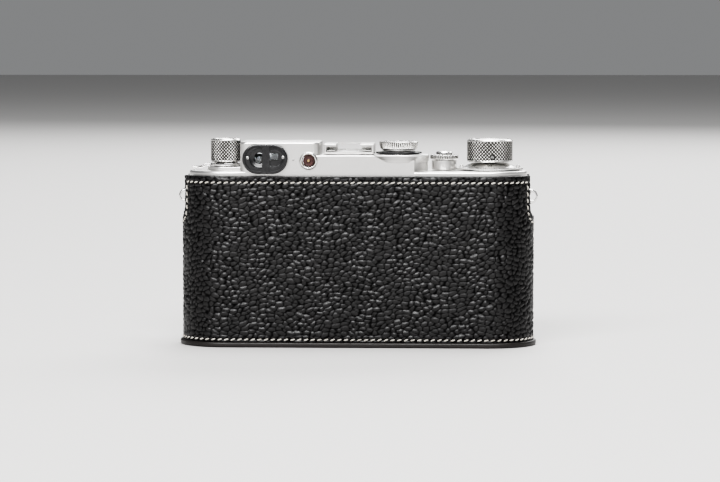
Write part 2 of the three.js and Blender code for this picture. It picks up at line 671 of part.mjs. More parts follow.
// The coupling arm: a roller behind the lens, a pivot shaft, and a carrier for the prism in the cover.
function rangefinderArm() {
  const reach = LENS.x - ARM.pivotX;
  const roller = rod(ARM.rollerRadius, ARM.rollerZ - 1.2, ARM.rollerZ + 1.8, SMALL).translate(reach, 0, 0);
  const arm = block(reach, 0, -1, 1, 56.4, 57.6);
  const shaft = rod(1.2, 56.4, 70.6, SMALL);
  const carrier = block(-11, 1, -4, -2.6, 69.4, 70.6);
  const neck = block(-1, 1, -4, 1, 69.4, 70.6);
  return join(roller, arm, shaft, carrier, neck);
}

function turningPrism() {
  const outline = new THREE.Shape([
    new THREE.Vector2(-11.4, -6), new THREE.Vector2(-6.6, -6), new THREE.Vector2(-6.6, -1.2),
  ]);
  return upright(outline, 70.9, 74.6);
}

// ---------- lens, drawn round its own axis ----------

function lensFlange() {
  return turnedAlongY([
    [17.6, 13.2], [18.1, 13.2], [18.1, 15.3], [LENS.flangeRadius - 0.5, 15.3], [LENS.flangeRadius, 15.8],
    [LENS.flangeRadius, LENS.flangeFace - 0.4], [LENS.flangeRadius - 0.4, LENS.flangeFace],
    [LENS.flangeBore, LENS.flangeFace], [LENS.flangeBore, 16.3], [17.6, 16.3], [17.6, 13.2],
  ], FINE);
}

function lensMountBase() {
  const bore = LENS.helixOuter + GAP;
  const face = LENS.flangeFace + GAP;
  return turnedAlongY([
    [bore, 16.6], [LENS.flangeBore - GAP, 16.6], [LENS.flangeBore - GAP, face], [LENS.mountRadius, face],
    [LENS.mountRadius, face + 2.2], [LENS.mountRadius - 0.5, face + 2.7], [bore, face + 2.7], [bore, 16.6],
  ], FINE);
}

const LEVER = { angle: 0.87, reach: 29.5, rear: 23.7, front: 26.4, buttonRadius: 2.6, buttonAt: 27 };

function focusRing() {
  const bore = LENS.helixOuter + GAP;
  const grip = turnedAlongY([
    [bore, 23.1], [22.6, 23.1], [23.2, 23.7], [23.2, 26.8], [20.6, 28], [bore, 28], [bore, 23.1],
  ], FINE);
  const lever = alongY(slot(3.6, 2.9, LEVER.reach - 6.5, 0), LEVER.rear, LEVER.front, 4);
  const stemHole = rodAlongY(1.2, LEVER.rear - 1, LEVER.front + 1, SMALL).translate(LEVER.buttonAt, 0, 0);
  const clear = rodAlongY(bore, 20, 30, FINE);
  return cut(join(grip, cut(lever, stemHole).rotateY(LEVER.angle)), clear);
}

function lockButton() {
  return turnedAlongY([
    [0, 24.4], [0.9, 24.4], [0.9, LEVER.front + 1.3], [LEVER.buttonRadius, LEVER.front + 1.3],
    [LEVER.buttonRadius, LEVER.front + 3.6], [LEVER.buttonRadius - 0.5, LEVER.front + 4],
    [0, LEVER.front + 4],
  ], SMALL);
}

function helixBarrel() {
  const bore = LENS.tubeOuter + GAP + 0.1;
  return turnedAlongY([
    [LENS.helixInner, 10], [LENS.helixOuter, 10], [LENS.helixOuter, 28.3], [18.4, 28.3], [18.9, 28.8],
    [18.9, 30.6],
    [18.5, 31], [bore, 31], [bore, 29.2], [LENS.helixInner, 29.2], [LENS.helixInner, 10],
  ], FINE);
}

function lensTube() {
  return turnedAlongY([
    [LENS.tubeInner, 11], [LENS.tubeOuter, 11], [LENS.tubeOuter, LENS.headRear], [16.6, LENS.headRear],
    [LENS.headRadius, 47.6], [LENS.headRadius, 51.6], [15.6, 51.6], [15.6, 55.6], [LENS.headRadius, 55.6],
    [LENS.headRadius, 56.6], [16.8, LENS.front], [13.6, LENS.front], [12.9, 54.4], [LENS.tubeInner, 54.4],
    [LENS.tubeInner, 11],
  ], FINE);
}

function apertureRing() {
  const grip = ringAlongY(15.9, 17.6, 51.9, 55.3, FINE);
  const tab = block(17.2, 19.4, 52.6, 54.6, -1.2, 1.2).rotateY(-2.2);
  return join(grip, tab);
}

function lensGroup() {
  const button = piece('infinity_lock_button', 'chrome', lockButton(),
    [LEVER.buttonAt * Math.cos(LEVER.angle), 0, -LEVER.buttonAt * Math.sin(LEVER.angle)]);
  return group([LENS.x, 0, LENS.z],
    piece('lens_flange', 'chrome', lensFlange()),
    piece('lens_mount_base', 'chrome', lensMountBase()),
    piece('focus_ring', 'chrome', focusRing()),
    button,
    piece('lens_helix_barrel', 'chrome', helixBarrel()),
    piece('lens_tube', 'chrome', lensTube()),
    piece('aperture_ring', 'chrome', apertureRing()),
    piece('iris_diaphragm', 'black', ringAlongY(5.5, LENS.tubeInner - GAP, 44, 44.6, MEDIUM)),
    piece('rear_lens_element', 'glass', convexGlass(LENS.tubeInner - GAP, 13, 2.4, 1.6)),
    piece('front_lens_element', 'glass', convexGlass(LENS.tubeInner - GAP, 49, 2.6, 2.2)));
}

// ---------- assembly ----------

function cameraBody() {
  return group([0, 0, 0],
    piece('body_shell', 'alloy', bodyShell()),
    piece('body_covering', 'vulcanite', bodyCovering()),
    piece('base_plate', 'chrome', basePlate()),
    piece('base_tripod_bush', 'brass', baseBush(), [CAMERA_BUSH.x, 0, 0]),
    piece('base_lock_key', 'chrome', baseKey(), [KEY.x, 0, 0]),
    piece('top_cover', 'chrome', topCover()),
    piece('strap_lug_right', 'chrome', strapLug(1), [0, 0, LUG.z]),
    piece('strap_lug_left', 'chrome', strapLug(-1), [0, 0, LUG.z]),
    piece('accessory_shoe', 'chrome', accessoryShoe()),
    piece('shoe_spring', 'steel', shoeSpring()),
    piece('eyepiece_bezel', 'black', eyepieceBezel()),
    ...eyepieceGlasses(),
    ...flashSocket(),
    piece('near_range_window', 'glass', roundWindow(FRONT_WINDOWS.near), windowPlace(FRONT_WINDOWS.near)),
    piece('far_range_window', 'glass', roundWindow(FRONT_WINDOWS.far), windowPlace(FRONT_WINDOWS.far)),
    piece('viewfinder_window', 'glass', viewWindow()),
    piece('slow_speed_dial', 'chrome', slowDial(), [SLOW.x, 0, SLOW.z]));
}

function mechanism() {
  const phases = gearPhases();
  return group([0, 0, 0],
    piece('film_gate', 'black', filmGate()),
    piece('pressure_plate', 'black', block(-25, 21, FILM.plane - 1.3, FILM.plane - 0.3, 23, 56)),
    piece('shutter_frame', 'alloy', shutterFrame()),
    piece('shutter_curtain', 'cloth', block(-25, 17, -6.95, -6.65, 21.5, 57)),
    piece('curtain_roller', 'steel', curtainRoller(), [-24.5, -3.5, 0]),
    piece('rangefinder_arm', 'brass', rangefinderArm(), [ARM.pivotX, ARM.pivotY, 0]),
    piece('rangefinder_prism', 'glass', turningPrism(), [ARM.pivotX, ARM.pivotY, 0]),
    piece('film_sprocket', 'steel', filmSprocket(), [RELEASE.x, RELEASE.y, 0]),
    piece('sprocket_gear', 'brass', gearWheel(phases.sprocket, 1.8), [RELEASE.x, RELEASE.y, 0]),
    piece('shutter_drum', 'brass', shutterDrum(), [DIAL.x, DIAL.y, 0]),
    piece('drum_gear', 'brass', gearWheel(phases.drum, 1.8), [DIAL.x, DIAL.y, 0]),
    piece('take_up_spool', 'black', takeUpSpool(), [WIND.x, WIND.y, 0]));
}

function controls() {
  const wind = [WIND.x, WIND.y, 0];
  const dial = [DIAL.x, DIAL.y, 0];
  const release = [RELEASE.x, RELEASE.y, 0];
  const rewind = [REWIND.x, REWIND.y, 0];
  return group([0, 0, 0],
    piece('rewind_knob', 'chrome', rewindKnob(), rewind),
    piece('rewind_fork', 'steel', rewindFork(), rewind),
    piece('diopter_lever', 'chrome', diopterLever(), rewind),
    piece('wind_knob', 'chrome', windKnob(), wind),
    piece('wind_shaft', 'steel', windShaft(), wind),
    piece('film_reminder_disc', 'chrome', reminderDisc(), wind),
    piece('frame_counter_dial', 'chrome', counterDial(), wind),
    piece('speed_dial', 'chrome', speedDial(), dial),
    piece('speed_dial_sleeve', 'steel', ring(1.8, 2.5, 70, 79.6, MEDIUM), dial),
    piece('flash_sync_ring', 'black', ring(2.9, SYNC.radius, SYNC.bottom, SYNC.top, FINE), dial),
    piece('release_barrel', 'chrome', releaseBarrel(), release),
    piece('release_collar', 'chrome', ring(RELEASE.button + GAP, RELEASE.collar, RELEASE.barrelTop + GAP,
      RELEASE.collarTop, MEDIUM), release),
    piece('release_button', 'chrome', releaseButton(), release),
    piece('rewind_release_lever', 'chrome', rewindReleaseLever(), [LEVER_PIVOT.x, LEVER_PIVOT.y, 0]));
}

export default group([0, 0, 0], leatherCase(), cameraBody(), mechanism(), controls(), lensGroup());
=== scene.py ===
"""A 35 mm rangefinder camera in a leather half case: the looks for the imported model.

Shapes are worked out in millimetres, in the model's own frame, and turned into metres when a mesh is made.
+X is to the right seen from behind the camera, +Y points out of the lens and +Z is up.
"""

import json
import math

import bmesh
import bpy
import numpy as np
from mathutils import Matrix, Vector


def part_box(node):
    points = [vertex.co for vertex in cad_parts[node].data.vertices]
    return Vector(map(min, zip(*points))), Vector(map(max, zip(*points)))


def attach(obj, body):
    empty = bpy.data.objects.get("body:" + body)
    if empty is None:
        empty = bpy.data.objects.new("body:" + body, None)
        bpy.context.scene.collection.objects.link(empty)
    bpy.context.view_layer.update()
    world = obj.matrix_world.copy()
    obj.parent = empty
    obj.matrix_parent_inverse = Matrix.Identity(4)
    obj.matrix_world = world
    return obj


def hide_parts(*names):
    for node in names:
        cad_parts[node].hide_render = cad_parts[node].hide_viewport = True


MM = 0.001

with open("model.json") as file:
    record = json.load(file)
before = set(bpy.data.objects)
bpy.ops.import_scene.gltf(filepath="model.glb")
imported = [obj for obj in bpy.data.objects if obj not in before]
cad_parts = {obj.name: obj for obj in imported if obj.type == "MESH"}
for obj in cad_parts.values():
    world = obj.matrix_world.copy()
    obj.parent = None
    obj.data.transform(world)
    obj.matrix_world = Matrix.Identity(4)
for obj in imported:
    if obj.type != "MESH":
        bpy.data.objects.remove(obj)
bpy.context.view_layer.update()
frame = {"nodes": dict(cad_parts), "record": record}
record = frame["record"]
BODY_OF = {node: body for body, nodes in record["behaviour"]["bodies"].items() for node in nodes}
SLOT_OF = {part["node"]: part["material_slot"] for part in record["subparts"]}


def ranges(node):
    """Where a CAD node starts and ends along X, Y and Z, in millimetres."""
    low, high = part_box(node)
    return list(zip(low / MM, high / MM))


def middle(node):
    low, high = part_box(node)
    return (low + high) / 2 / MM


(_, WALL_RIGHT), _, (WALL_FOOT, WALL_TOP) = ranges("case_wall")

CASE_R = 18.0
END_X = WALL_RIGHT - CASE_R  # centres of the two round ends
LEATHER = 1.7
COVER_R = 15.2
DECK_Z = 69.8
FRONT_CUT = {"left": -34.0, "right": 41.0, "bottom": 14.0, "corner": 12.0}
NOTCH = {"half": 7.0, "bottom": 51.6, "corner": 5.0}
STITCH = {"pitch": 2.65, "length": 1.9, "width": 0.62, "inset": 2.6, "slant": math.radians(17), "foot": 2.85}

# Places on the top are (x, y), and places on the rear and the front are (x, z).
HOUSING = {"left": -46.5, "right": -14.5, "rear": -15.2, "front": 10.6, "top": 81.5}
PLATEAU = {"top": 76.3, "tier": 73.4, "right": 23.0, "end": 12.1, "lower_end": 11.7}
REWIND_AT, DIAL_AT, RELEASE_AT, WIND_AT = (-53.3, 0.0), (16.5, -1.5), (34.7, 0.0), (53.0, 0.0)
LEVER_AT = (37.5, 9.6)
RANGE_EYE, VIEW_EYE, FLASH_AT = (-38.4, 75.0), (-32.6, 75.7), (-18.95, 74.05)
NEAR_WINDOW, FAR_WINDOW, VIEW_WINDOW = (-38.4, 75.0), (0.6, 73.1), (-26.6, 75.0)
LENS_AT, SLOW_AT = (-3.2, 39.3), (29.0, 52.0)
UP, DOWN, AHEAD = (0, 0, 1), (0, 0, -1), (0, 1, 0)


# ---------------------------------------------------------------- materials

class Paint:
    """A procedural material: a principled shader whose inputs are fed by noise in object space."""

    def __init__(self, name, colour, roughness, metallic=0.0, **inputs):
        self.material = bpy.data.materials.new(name)
        self.material.use_nodes = True
        self.nodes = self.material.node_tree.nodes
        self.links = self.material.node_tree.links
        self.shader = self.nodes["Principled BSDF"]
        self.set("Base Color", (*colour, 1.0))
        self.set("Roughness", roughness)
        self.set("Metallic", metallic)
        for key, value in inputs.items():
            self.set(key.replace("_", " "), value)
        self.coordinates = self.nodes.new("ShaderNodeTexCoord").outputs["Object"]
        self.material.diffuse_color = (*colour, 1.0)

    def set(self, socket, value):
        self.shader.inputs[socket].default_value = value

    def link(self, socket, output):
        self.links.new(output, self.shader.inputs[socket])

    def scaled(self, stretch):
        mapping = self.nodes.new("ShaderNodeMapping")
        mapping.inputs["Scale"].default_value = stretch
        self.links.new(self.coordinates, mapping.inputs["Vector"])
        return mapping.outputs["Vector"]

    def noise(self, size, detail=4.0, rough=0.55, stretch=None):
        """Noise whose largest features are about size millimetres across."""
        node = self.nodes.new("ShaderNodeTexNoise")
        node.inputs["Scale"].default_value = 1 / (size * MM)
        node.inputs["Detail"].default_value = detail
        node.inputs["Roughness"].default_value = rough
        self.links.new(self.scaled(stretch) if stretch else self.coordinates, node.inputs["Vector"])
        return node.outputs["Fac"]

    def cells(self, size):
        """Zero on the edges of cells of this size, rising towards their middles."""
        node = self.nodes.new("ShaderNodeTexVoronoi")
        node.feature = "DISTANCE_TO_EDGE"
        node.inputs["Scale"].default_value = 1 / (size * MM)
        self.links.new(self.coordinates, node.inputs["Vector"])
        return node.outputs["Distance"]

    def bands(self, scale, direction, distortion=0.0):
        node = self.nodes.new("ShaderNodeTexWave")
        node.inputs["Scale"].default_value = scale
        node.inputs["Distortion"].default_value = distortion
        node.bands_direction = direction
        self.links.new(self.coordinates, node.inputs["Vector"])
        return node.outputs["Fac"]

    def raised(self):
        """The mesh's own measure of how far a point stands out of the grooves, from 0 to 1."""
        node = self.nodes.new("ShaderNodeAttribute")
        node.attribute_name = "raised"
        return node.outputs["Fac"]

    def remap(self, value, *limits):
        """Turns the range between the first two limits into the range between the last two."""
        node = self.nodes.new("ShaderNodeMapRange")
        for socket, number in zip(("From Min", "From Max", "To Min", "To Max"), limits):
            node.inputs[socket].default_value = number
        self.links.new(value, node.inputs["Value"])
        return node.outputs["Result"]

    def blend(self, factor, first, second):
        """Mixes two colours, or a colour output and a colour, by factor."""
        node = self.nodes.new("ShaderNodeMix")
        node.data_type = "RGBA"
        self.links.new(factor, node.inputs["Factor"])
        for socket, colour in (("A", first), ("B", second)):
            target = [s for s in node.inputs if s.name == socket and s.type == "RGBA"][0]
            if isinstance(colour, tuple):
                target.default_value = (*colour, 1.0)
            else:
                self.links.new(colour, target)
        return [s for s in node.outputs if s.type == "RGBA"][0]

    def bump(self, *layers):
        """Stacks (height output, depth in millimetres) layers into one normal."""
        normal = None
        for height, depth in layers:
            node = self.nodes.new("ShaderNodeBump")
            node.inputs["Distance"].default_value = depth * MM
            self.links.new(height, node.inputs["Height"])
            if normal is not None:
                self.links.new(normal, node.inputs["Normal"])
            normal = node.outputs["Normal"]
        self.link("Normal", normal)


def leather_paint(name, dark, lit, roughness):
    paint = Paint(name, lit, roughness, Specular_IOR_Level=0.55)
    mottled = paint.blend(paint.remap(paint.noise(9.0, 5), 0.35, 0.65, 0, 1), dark, lit)
    # Painted shade: where raised is low, in the creases between the pebbles, the colour is darkened and the
    # reflection turned down.
    raised = paint.remap(paint.raised(), 0.0, 0.6, 0.0, 1.0)
    paint.link("Base Color", paint.blend(raised, tuple(c * 0.4 for c in dark), mottled))
    paint.link("Specular IOR Level", paint.remap(raised, 0.0, 1.0, 0.05, 0.5))
    worn = paint.remap(paint.noise(0.7, 6), 0.3, 0.7, roughness - 0.09, roughness + 0.12)
    paint.link("Roughness", worn)
    paint.bump((paint.noise(0.6, 6, 0.6), 0.05), (paint.cells(0.5), 0.02))
    return paint.material


def edge_paint():
    paint = Paint("leather_cut_edge", (0.012, 0.010, 0.009), 0.42, Specular_IOR_Level=0.5)
    layers = paint.noise(1.2, 5, 0.6, (0.25, 0.25, 3.0))
    paint.link("Base Color", paint.blend(layers, (0.006, 0.005, 0.005), (0.022, 0.018, 0.016)))
    paint.bump((layers, 0.08), (paint.noise(0.3, 5), 0.03))
    return paint.material


def thread_paint():
    paint = Paint("waxed_thread", (0.60, 0.57, 0.51), 0.62, Sheen_Weight=0.35)
    twist = paint.bands(900, "DIAGONAL", 1.5)
    soiled = paint.remap(paint.noise(6.0, 3), 0.35, 0.7, 0, 1)
    paint.link("Base Color", paint.blend(soiled, (0.62, 0.59, 0.53), (0.42, 0.39, 0.34)))
    paint.bump((twist, 0.10), (paint.noise(0.15, 4), 0.04))
    return paint.material


def suede_paint():
    paint = Paint("case_suede", (0.05, 0.04, 0.035), 0.95, Sheen_Weight=0.6, Sheen_Roughness=0.5)
    nap = paint.noise(0.8, 7, 0.75)
    paint.link("Base Color", paint.blend(paint.noise(5.0, 4), (0.030, 0.024, 0.021), (0.085, 0.068, 0.058)))
    paint.bump((nap, 0.18), (paint.noise(0.2, 4), 0.08))
    return paint.material


def chrome_paint(name, roughness, colour=(0.80, 0.79, 0.775), grain=0.0005):
    """Satin chrome: a fine blasted grain, faint handling smudges and a few hairline marks."""
    paint = Paint(name, colour, roughness, 1.0)
    smudge = paint.noise(7.0, 4, 0.6)
    darker = tuple(c * 0.94 for c in colour)
    paint.link("Base Color", paint.blend(paint.remap(smudge, 0.4, 0.7, 0, 1), colour, darker))
    paint.link("Roughness", paint.remap(smudge, 0.3, 0.7, roughness - 0.02, roughness + 0.04))
    hairlines = paint.noise(1.4, 3, 0.5, (0.2, 3.0, 3.0))
    paint.bump((paint.noise(0.12, 5, 0.6), grain), (hairlines, grain * 0.5))
    return paint.material


def knurl_paint():
    paint = Paint("knurled_chrome", (0.70, 0.69, 0.67), 0.26, 1.0)
    # Grime and painted shade: the knurl's grooves are painted near black and its ridges bright chrome.
    grime_and_groove_shade = paint.remap(paint.raised(), 0.2, 0.85, 0.0, 1.0)
    paint.link("Base Color", paint.blend(grime_and_groove_shade, (0.035, 0.033, 0.030), (0.78, 0.77, 0.75)))
    paint.link("Roughness", paint.remap(paint.raised(), 0.0, 0.8, 0.55, 0.25))
    paint.bump((paint.noise(0.2, 4), 0.01))
    return paint.material


def enamel_paint(name, roughness=0.3, colour=(0.012, 0.012, 0.013)):
    paint = Paint(name, colour, roughness, 0.0, Coat_Weight=0.25, Coat_Roughness=0.2)
    paint.link("Roughness", paint.remap(paint.noise(2.0, 5), 0.3, 0.7, roughness - 0.07, roughness + 0.1))
    tired = paint.remap(paint.noise(4.0, 6, 0.7), 0.55, 0.75, 0, 1)
    paint.link("Base Color", paint.blend(tired, colour, tuple(c * 2.2 + 0.004 for c in colour)))
    paint.bump((paint.noise(0.35, 5), 0.012))
    return paint.material


def vulcanite_paint():
    paint = Paint("vulcanite", (0.014, 0.0135, 0.013), 0.5, Specular_IOR_Level=0.5)
    # Painted shade: the grooves between the pebbles are painted darker than their tops.
    pebbles = paint.remap(paint.cells(0.95), 0.0, 0.28, 0.0, 1.0)
    paint.link("Base Color", paint.blend(pebbles, (0.006, 0.006, 0.006), (0.020, 0.019, 0.018)))
    paint.link("Roughness", paint.remap(paint.noise(3.0, 4), 0.3, 0.7, 0.42, 0.6))
    paint.bump((pebbles, 0.16), (paint.noise(0.2, 4), 0.02))
    return paint.material


def glass_paint(name, tint, film):
    paint = Paint(name, tint, 0.02, 0.0, Transmission_Weight=1.0, IOR=1.6)
    paint.set("Thin Film Thickness", film)
    paint.set("Thin Film IOR", 1.38)
    paint.link("Roughness", paint.remap(paint.noise(3.0, 5), 0.4, 0.8, 0.012, 0.06))
    return paint.material


def metal_paint(name, colour, roughness, size=1.5):
    """Inner metalwork: turned or cast, a little oily and uneven."""
    paint = Paint(name, colour, roughness, 1.0)
    turning = paint.noise(size, 4, 0.5, (1.0, 1.0, 6.0))
    paint.link("Base Color", paint.blend(turning, tuple(c * 0.75 for c in colour), colour))
    paint.link("Roughness", paint.remap(paint.noise(3.0, 4), 0.3, 0.7, roughness - 0.08, roughness + 0.1))
    paint.bump((turning, 0.02))
    return paint.material


def cloth_paint():
    paint = Paint("curtain_cloth", (0.015, 0.015, 0.015), 0.85, Sheen_Weight=0.2)
    weave = paint.bands(1800, "Z")
    paint.link("Base Color", paint.blend(paint.noise(4.0), (0.010, 0.010, 0.010), (0.024, 0.023, 0.022)))
    paint.bump((weave, 0.05))
    return paint.material


PAINTS = {
    "leather": leather_paint("pebbled_leather", (0.0036, 0.0032, 0.0035), (0.0068, 0.0060, 0.0064), 0.40),
    "edge": edge_paint(),
    "thread": thread_paint(),
    "suede": suede_paint(),
    "board": leather_paint("case_board", (0.02, 0.016, 0.013), (0.035, 0.028, 0.022), 0.7),
    "satin": chrome_paint("satin_chrome", 0.31),
    "bright": chrome_paint("bright_chrome", 0.16, (0.82, 0.81, 0.80), 0.0003),
    "lens_chrome": chrome_paint("lens_chrome", 0.24, (0.79, 0.78, 0.765)),
    "knurl": knurl_paint(),
    "enamel": enamel_paint("black_enamel"),
    "matt_black": enamel_paint("matt_black", 0.6, (0.006, 0.006, 0.006)),
    # Engraving paint, also laid as painted shade in screw slots and rib grooves.
    "engraving_and_slot_shade": enamel_paint("engraving_and_slot_shade_paint", 0.5, (0.02, 0.02, 0.02)),
    "red_core": enamel_paint("socket_insulator", 0.45, (0.045, 0.014, 0.012)),
    "vulcanite": vulcanite_paint(),
    "glass": glass_paint("eyepiece_glass", (0.82, 0.86, 0.90), 0.0),
    "lens_glass": glass_paint("coated_glass", (0.72, 0.74, 0.86), 330.0),
    "brass": metal_paint("turned_brass", (0.62, 0.46, 0.22), 0.3),
    "steel": metal_paint("turned_steel", (0.52, 0.52, 0.51), 0.32),
    "alloy": metal_paint("cast_alloy", (0.50, 0.50, 0.50), 0.5, 0.6),
    "cloth": cloth_paint(),
    "floor": Paint("pale_floor", (0.62, 0.61, 0.60), 0.75).material,
}


# ---------------------------------------------------------------- mesh helpers

def smooth(mesh, angle=32):
    mesh.shade_smooth()
    mesh.set_sharp_from_angle(angle=math.radians(angle))


def link(obj):
    bpy.context.scene.collection.objects.link(obj)
    return obj


def object_from(name, verts, faces, paint, angle=32, raised=None):
    mesh = bpy.data.meshes.new(name)
    mesh.from_pydata([tuple(c * MM for c in v) for v in verts], [], [tuple(f) for f in faces])
    if raised is not None:
        layer = mesh.attributes.new("raised", "FLOAT", "POINT")
        layer.data.foreach_set("value", np.asarray(raised, np.float32))
    smooth(mesh, angle)
    mesh.materials.append(PAINTS[paint])
    return link(bpy.data.objects.new(name, mesh))


def tidy(obj, angle=32):
    """Joins doubled points, points the faces outwards and marks the sharp edges again."""
    work = bmesh.new()
    work.from_mesh(obj.data)
    bmesh.ops.remove_doubles(work, verts=work.verts, dist=0.0004 * MM)
    bmesh.ops.recalc_face_normals(work, faces=work.faces)
    work.to_mesh(obj.data)
    work.free()
    smooth(obj.data, angle)
    return obj


def joined(name, objects):
    """Makes one object of several, keeping each one's materials."""
    with bpy.context.temp_override(active_object=objects[0], selected_editable_objects=objects,
                                   selected_objects=objects, object=objects[0]):
        bpy.ops.object.join()
    objects[0].name = name
    return objects[0]


def stand_in(obj, node):
    """obj takes the CAD node's place and its body."""
    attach(obj, BODY_OF[node])
    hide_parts(node)
    return obj


def trim_on(obj, node):
    """obj is a detail that goes with a CAD node without replacing it."""
    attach(obj, BODY_OF[node])
    return obj


def bend(before, here, after, radius, share, steps):
    """Points on a small curve round the corner at here, which takes at most a share of either side."""
    before, here, after = Vector(before), Vector(here), Vector(after)
    reach = min(radius, share * (before - here).length, share * (after - here).length)
    start = here + (before - here).normalized() * reach
    end = here + (after - here).normalized() * reach
    shares = [k / steps for k in range(steps + 1)]
    return [tuple((1 - t) ** 2 * start + 2 * t * (1 - t) * here + t * t * end) for t in shares]


def rounded(points, radius, closed):
    """Rounds the corners of a polyline with small curves; points on the axis (first value 0) stay."""
    result = []
    last = len(points) - 1
    for i, point in enumerate(points):
        if not closed and i in (0, last) or abs(point[0]) < 1e-6:
            result.append(tuple(Vector(point)))
        else:
            result += bend(points[i - 1], point, points[(i + 1) % (last + 1)], radius, 0.45, 3)
    return result


def ring_faces(first, sides, rows, closed=False):
    """Quads between rows of points round an axis; with closed the last row joins the first."""
    faces = []
    for row in range(rows if closed else rows - 1):
        low, high = first + row * sides, first + (row + 1) % rows * sides
        for k in range(sides):
            nxt = (k + 1) % sides
            faces.append((low + k, low + nxt, high + nxt, high + k))
    return faces


def placed(centre, axis):
    """A point on the axis along Z through (x, y), or on the axis along Y through (x, z)."""
    return (*centre, 0) if axis == "Z" else (centre[0], 0, centre[1])


def lathe(name, profile, paint, centre=(0, 0), axis="Z", sides=96, soft=0.12, relief=None):
    """Turns a profile of (radius, height) points round an axis.

    relief(angle, height, radius) gives what it adds to the radius, and the values of raised.
    """
    closed = profile[0] == profile[-1]
    points = rounded(profile[:-1] if closed else profile, soft, closed=closed)
    angles = np.linspace(0, 2 * math.pi, sides, endpoint=False)
    radius = np.array([p[0] for p in points])[:, None] * np.ones(sides)
    height = np.array([p[1] for p in points])[:, None] * np.ones(sides)
    raised = np.ones_like(radius)
    if relief is not None:
        extra, raised = relief(np.broadcast_to(angles, radius.shape), height, radius)
        radius = radius + extra
    across, along = radius * np.cos(angles), radius * np.sin(angles)
    layers = (across, along, height) if axis == "Z" else (across, height, along)
    verts = np.stack(layers, axis=-1).reshape(-1, 3) + np.array(placed(centre, axis))
    faces = ring_faces(0, sides, len(points), closed)
    return tidy(object_from(name, verts, faces, paint, raised=raised.ravel()))


def arc(cx, cy, radius, start, end, steps):
    """Points along an arc, angles in degrees."""
    turn = [math.radians(start + (end - start) * k / steps) for k in range(steps + 1)]
    return [(cx + radius * math.cos(a), cy + radius * math.sin(a)) for a in turn]


def slot_outline(half_span, radius, x, y, steps):
    return arc(x + half_span, y, radius, -90, 90, steps) + arc(x - half_span, y, radius, 90, 270, steps)


def rectangle(x0, x1, y0, y1, radius, steps=6):
    left, right, low, high = x0 + radius, x1 - radius, y0 + radius, y1 - radius
    corners = ((right, low, -90), (right, high, 0), (left, high, 90), (left, low, 180))
    return [point for x, y, start in corners for point in arc(x, y, radius, start, start + 90, steps)]


def outline_normals(outline):
    points = np.array(outline)
    ahead = np.roll(points, -1, axis=0) - points
    behind = points - np.roll(points, 1, axis=0)
    sides = []
    for step in (ahead, behind):
        length = np.maximum(np.linalg.norm(step, axis=1, keepdims=True), 1e-9)
        sides.append(np.stack([step[:, 1], -step[:, 0]], axis=1) / length)
    total = sides[0] + sides[1]
    length = np.maximum(np.linalg.norm(total, axis=1, keepdims=True), 1e-6)
    unit = total / length
    mitre = np.clip((unit * sides[0]).sum(axis=1, keepdims=True), 0.5, 1)
    return unit / mitre


def distinct(outline):
    """Drops points that repeat the one before."""
    kept = []
    for point in outline:
        if not kept or math.dist(point, kept[-1]) > 1e-4:
            kept.append(point)
    if math.dist(kept[0], kept[-1]) < 1e-4:
        kept.pop()
    return kept


def loft(name, outline, levels, paint, axis="Z", closed=False):
    """Stacks an outline at (height, inset) levels and caps it; with closed the last level joins the first."""
    outline = distinct(outline)
    points, normals = np.array(outline), outline_normals(outline)
    count = len(points)
    verts = []
    for height, inset in levels:
        for x, y in points - normals * inset:
            verts.append((x, y, height) if axis == "Z" else (x, height, y))
    faces = ring_faces(0, count, len(levels), closed)
    if not closed:
        faces += [tuple(range(count)), tuple(range(len(verts) - count, len(verts)))]
    return tidy(object_from(name, verts, faces, paint, raised=np.ones(len(verts))))


def edge_levels(low, high, low_round, high_round, steps=4):
    """Levels for loft with a quarter-round at each end."""
    turns = [math.pi / 2 * k / steps for k in range(steps + 1)]
    lower = [(low + low_round * (1 - math.cos(a)), low_round * (1 - math.sin(a))) for a in turns]
    upper = [(high - high_round * (1 - math.sin(a)), high_round * (1 - math.cos(a))) for a in turns]
    return lower + upper


def boolean(body, operation, tools):
    """Applies an exact boolean with each tool in turn, and removes the tools."""
    for tool in tools:
        step = body.modifiers.new("cut", "BOOLEAN")
        step.operation = operation
        step.object = tool
        step.solver = "EXACT"
    graph = bpy.context.evaluated_depsgraph_get()
    mesh = bpy.data.meshes.new_from_object(body.evaluated_get(graph))
    body.modifiers.clear()
    body.data = mesh
    for tool in tools:
        bpy.data.objects.remove(tool)
    smooth(mesh)
    return body


def carve(body, *tools):
    return boolean(body, "DIFFERENCE", tools)


def fuse(body, *tools):
    return boolean(body, "UNION", tools)


def crisp(obj):
    """Large flat faces shade flat right up to their rounded edges."""
    even = obj.modifiers.new("even_shading", "WEIGHTED_NORMAL")
    even.keep_sharp = True
    return obj


def outline_body(radius, steps=40):
    return slot_outline(END_X, radius, 0, 0, steps)


def plate(name, outline, low, high, paint, axis, soft):
    """A flat piece of this outline with rounded edges."""
    return loft(name, outline, edge_levels(low, high, soft, soft, 3), paint, axis)


def box_piece(name, x, y, z, paint, soft=0.15, axis="Z"):
    """A block from (low, high) pairs with rounded edges."""
    if axis == "Z":
        return plate(name, rectangle(*x, *y, soft * 1.5, 3), *z, paint, "Z", soft)
    return plate(name, rectangle(*x, *z, soft * 1.5, 3), *y, paint, "Y", soft)


# ---------------------------------------------------------------- details

def with_rows(points, low, high, step):
    """Adds points to a profile's straight runs between two heights, for a knurl to bend."""
    result = [points[0]]
    for before, here in zip(points, points[1:]):
        inside = min(before[1], here[1]) >= low - 0.5 and max(before[1], here[1]) <= high + 0.5
        count = max(1, math.ceil(abs(here[1] - before[1]) / step)) if inside else 1
        for k in range(1, count + 1):
            share = k / count
            result.append(tuple(b + (h - b) * share for b, h in zip(before, here)))
    return result


def faded(height, low, high, edge):
    """One between two heights, falling to zero over a short edge at each."""
    return np.clip((height - low) / edge, 0, 1) * np.clip((high - height) / edge, 0, 1)


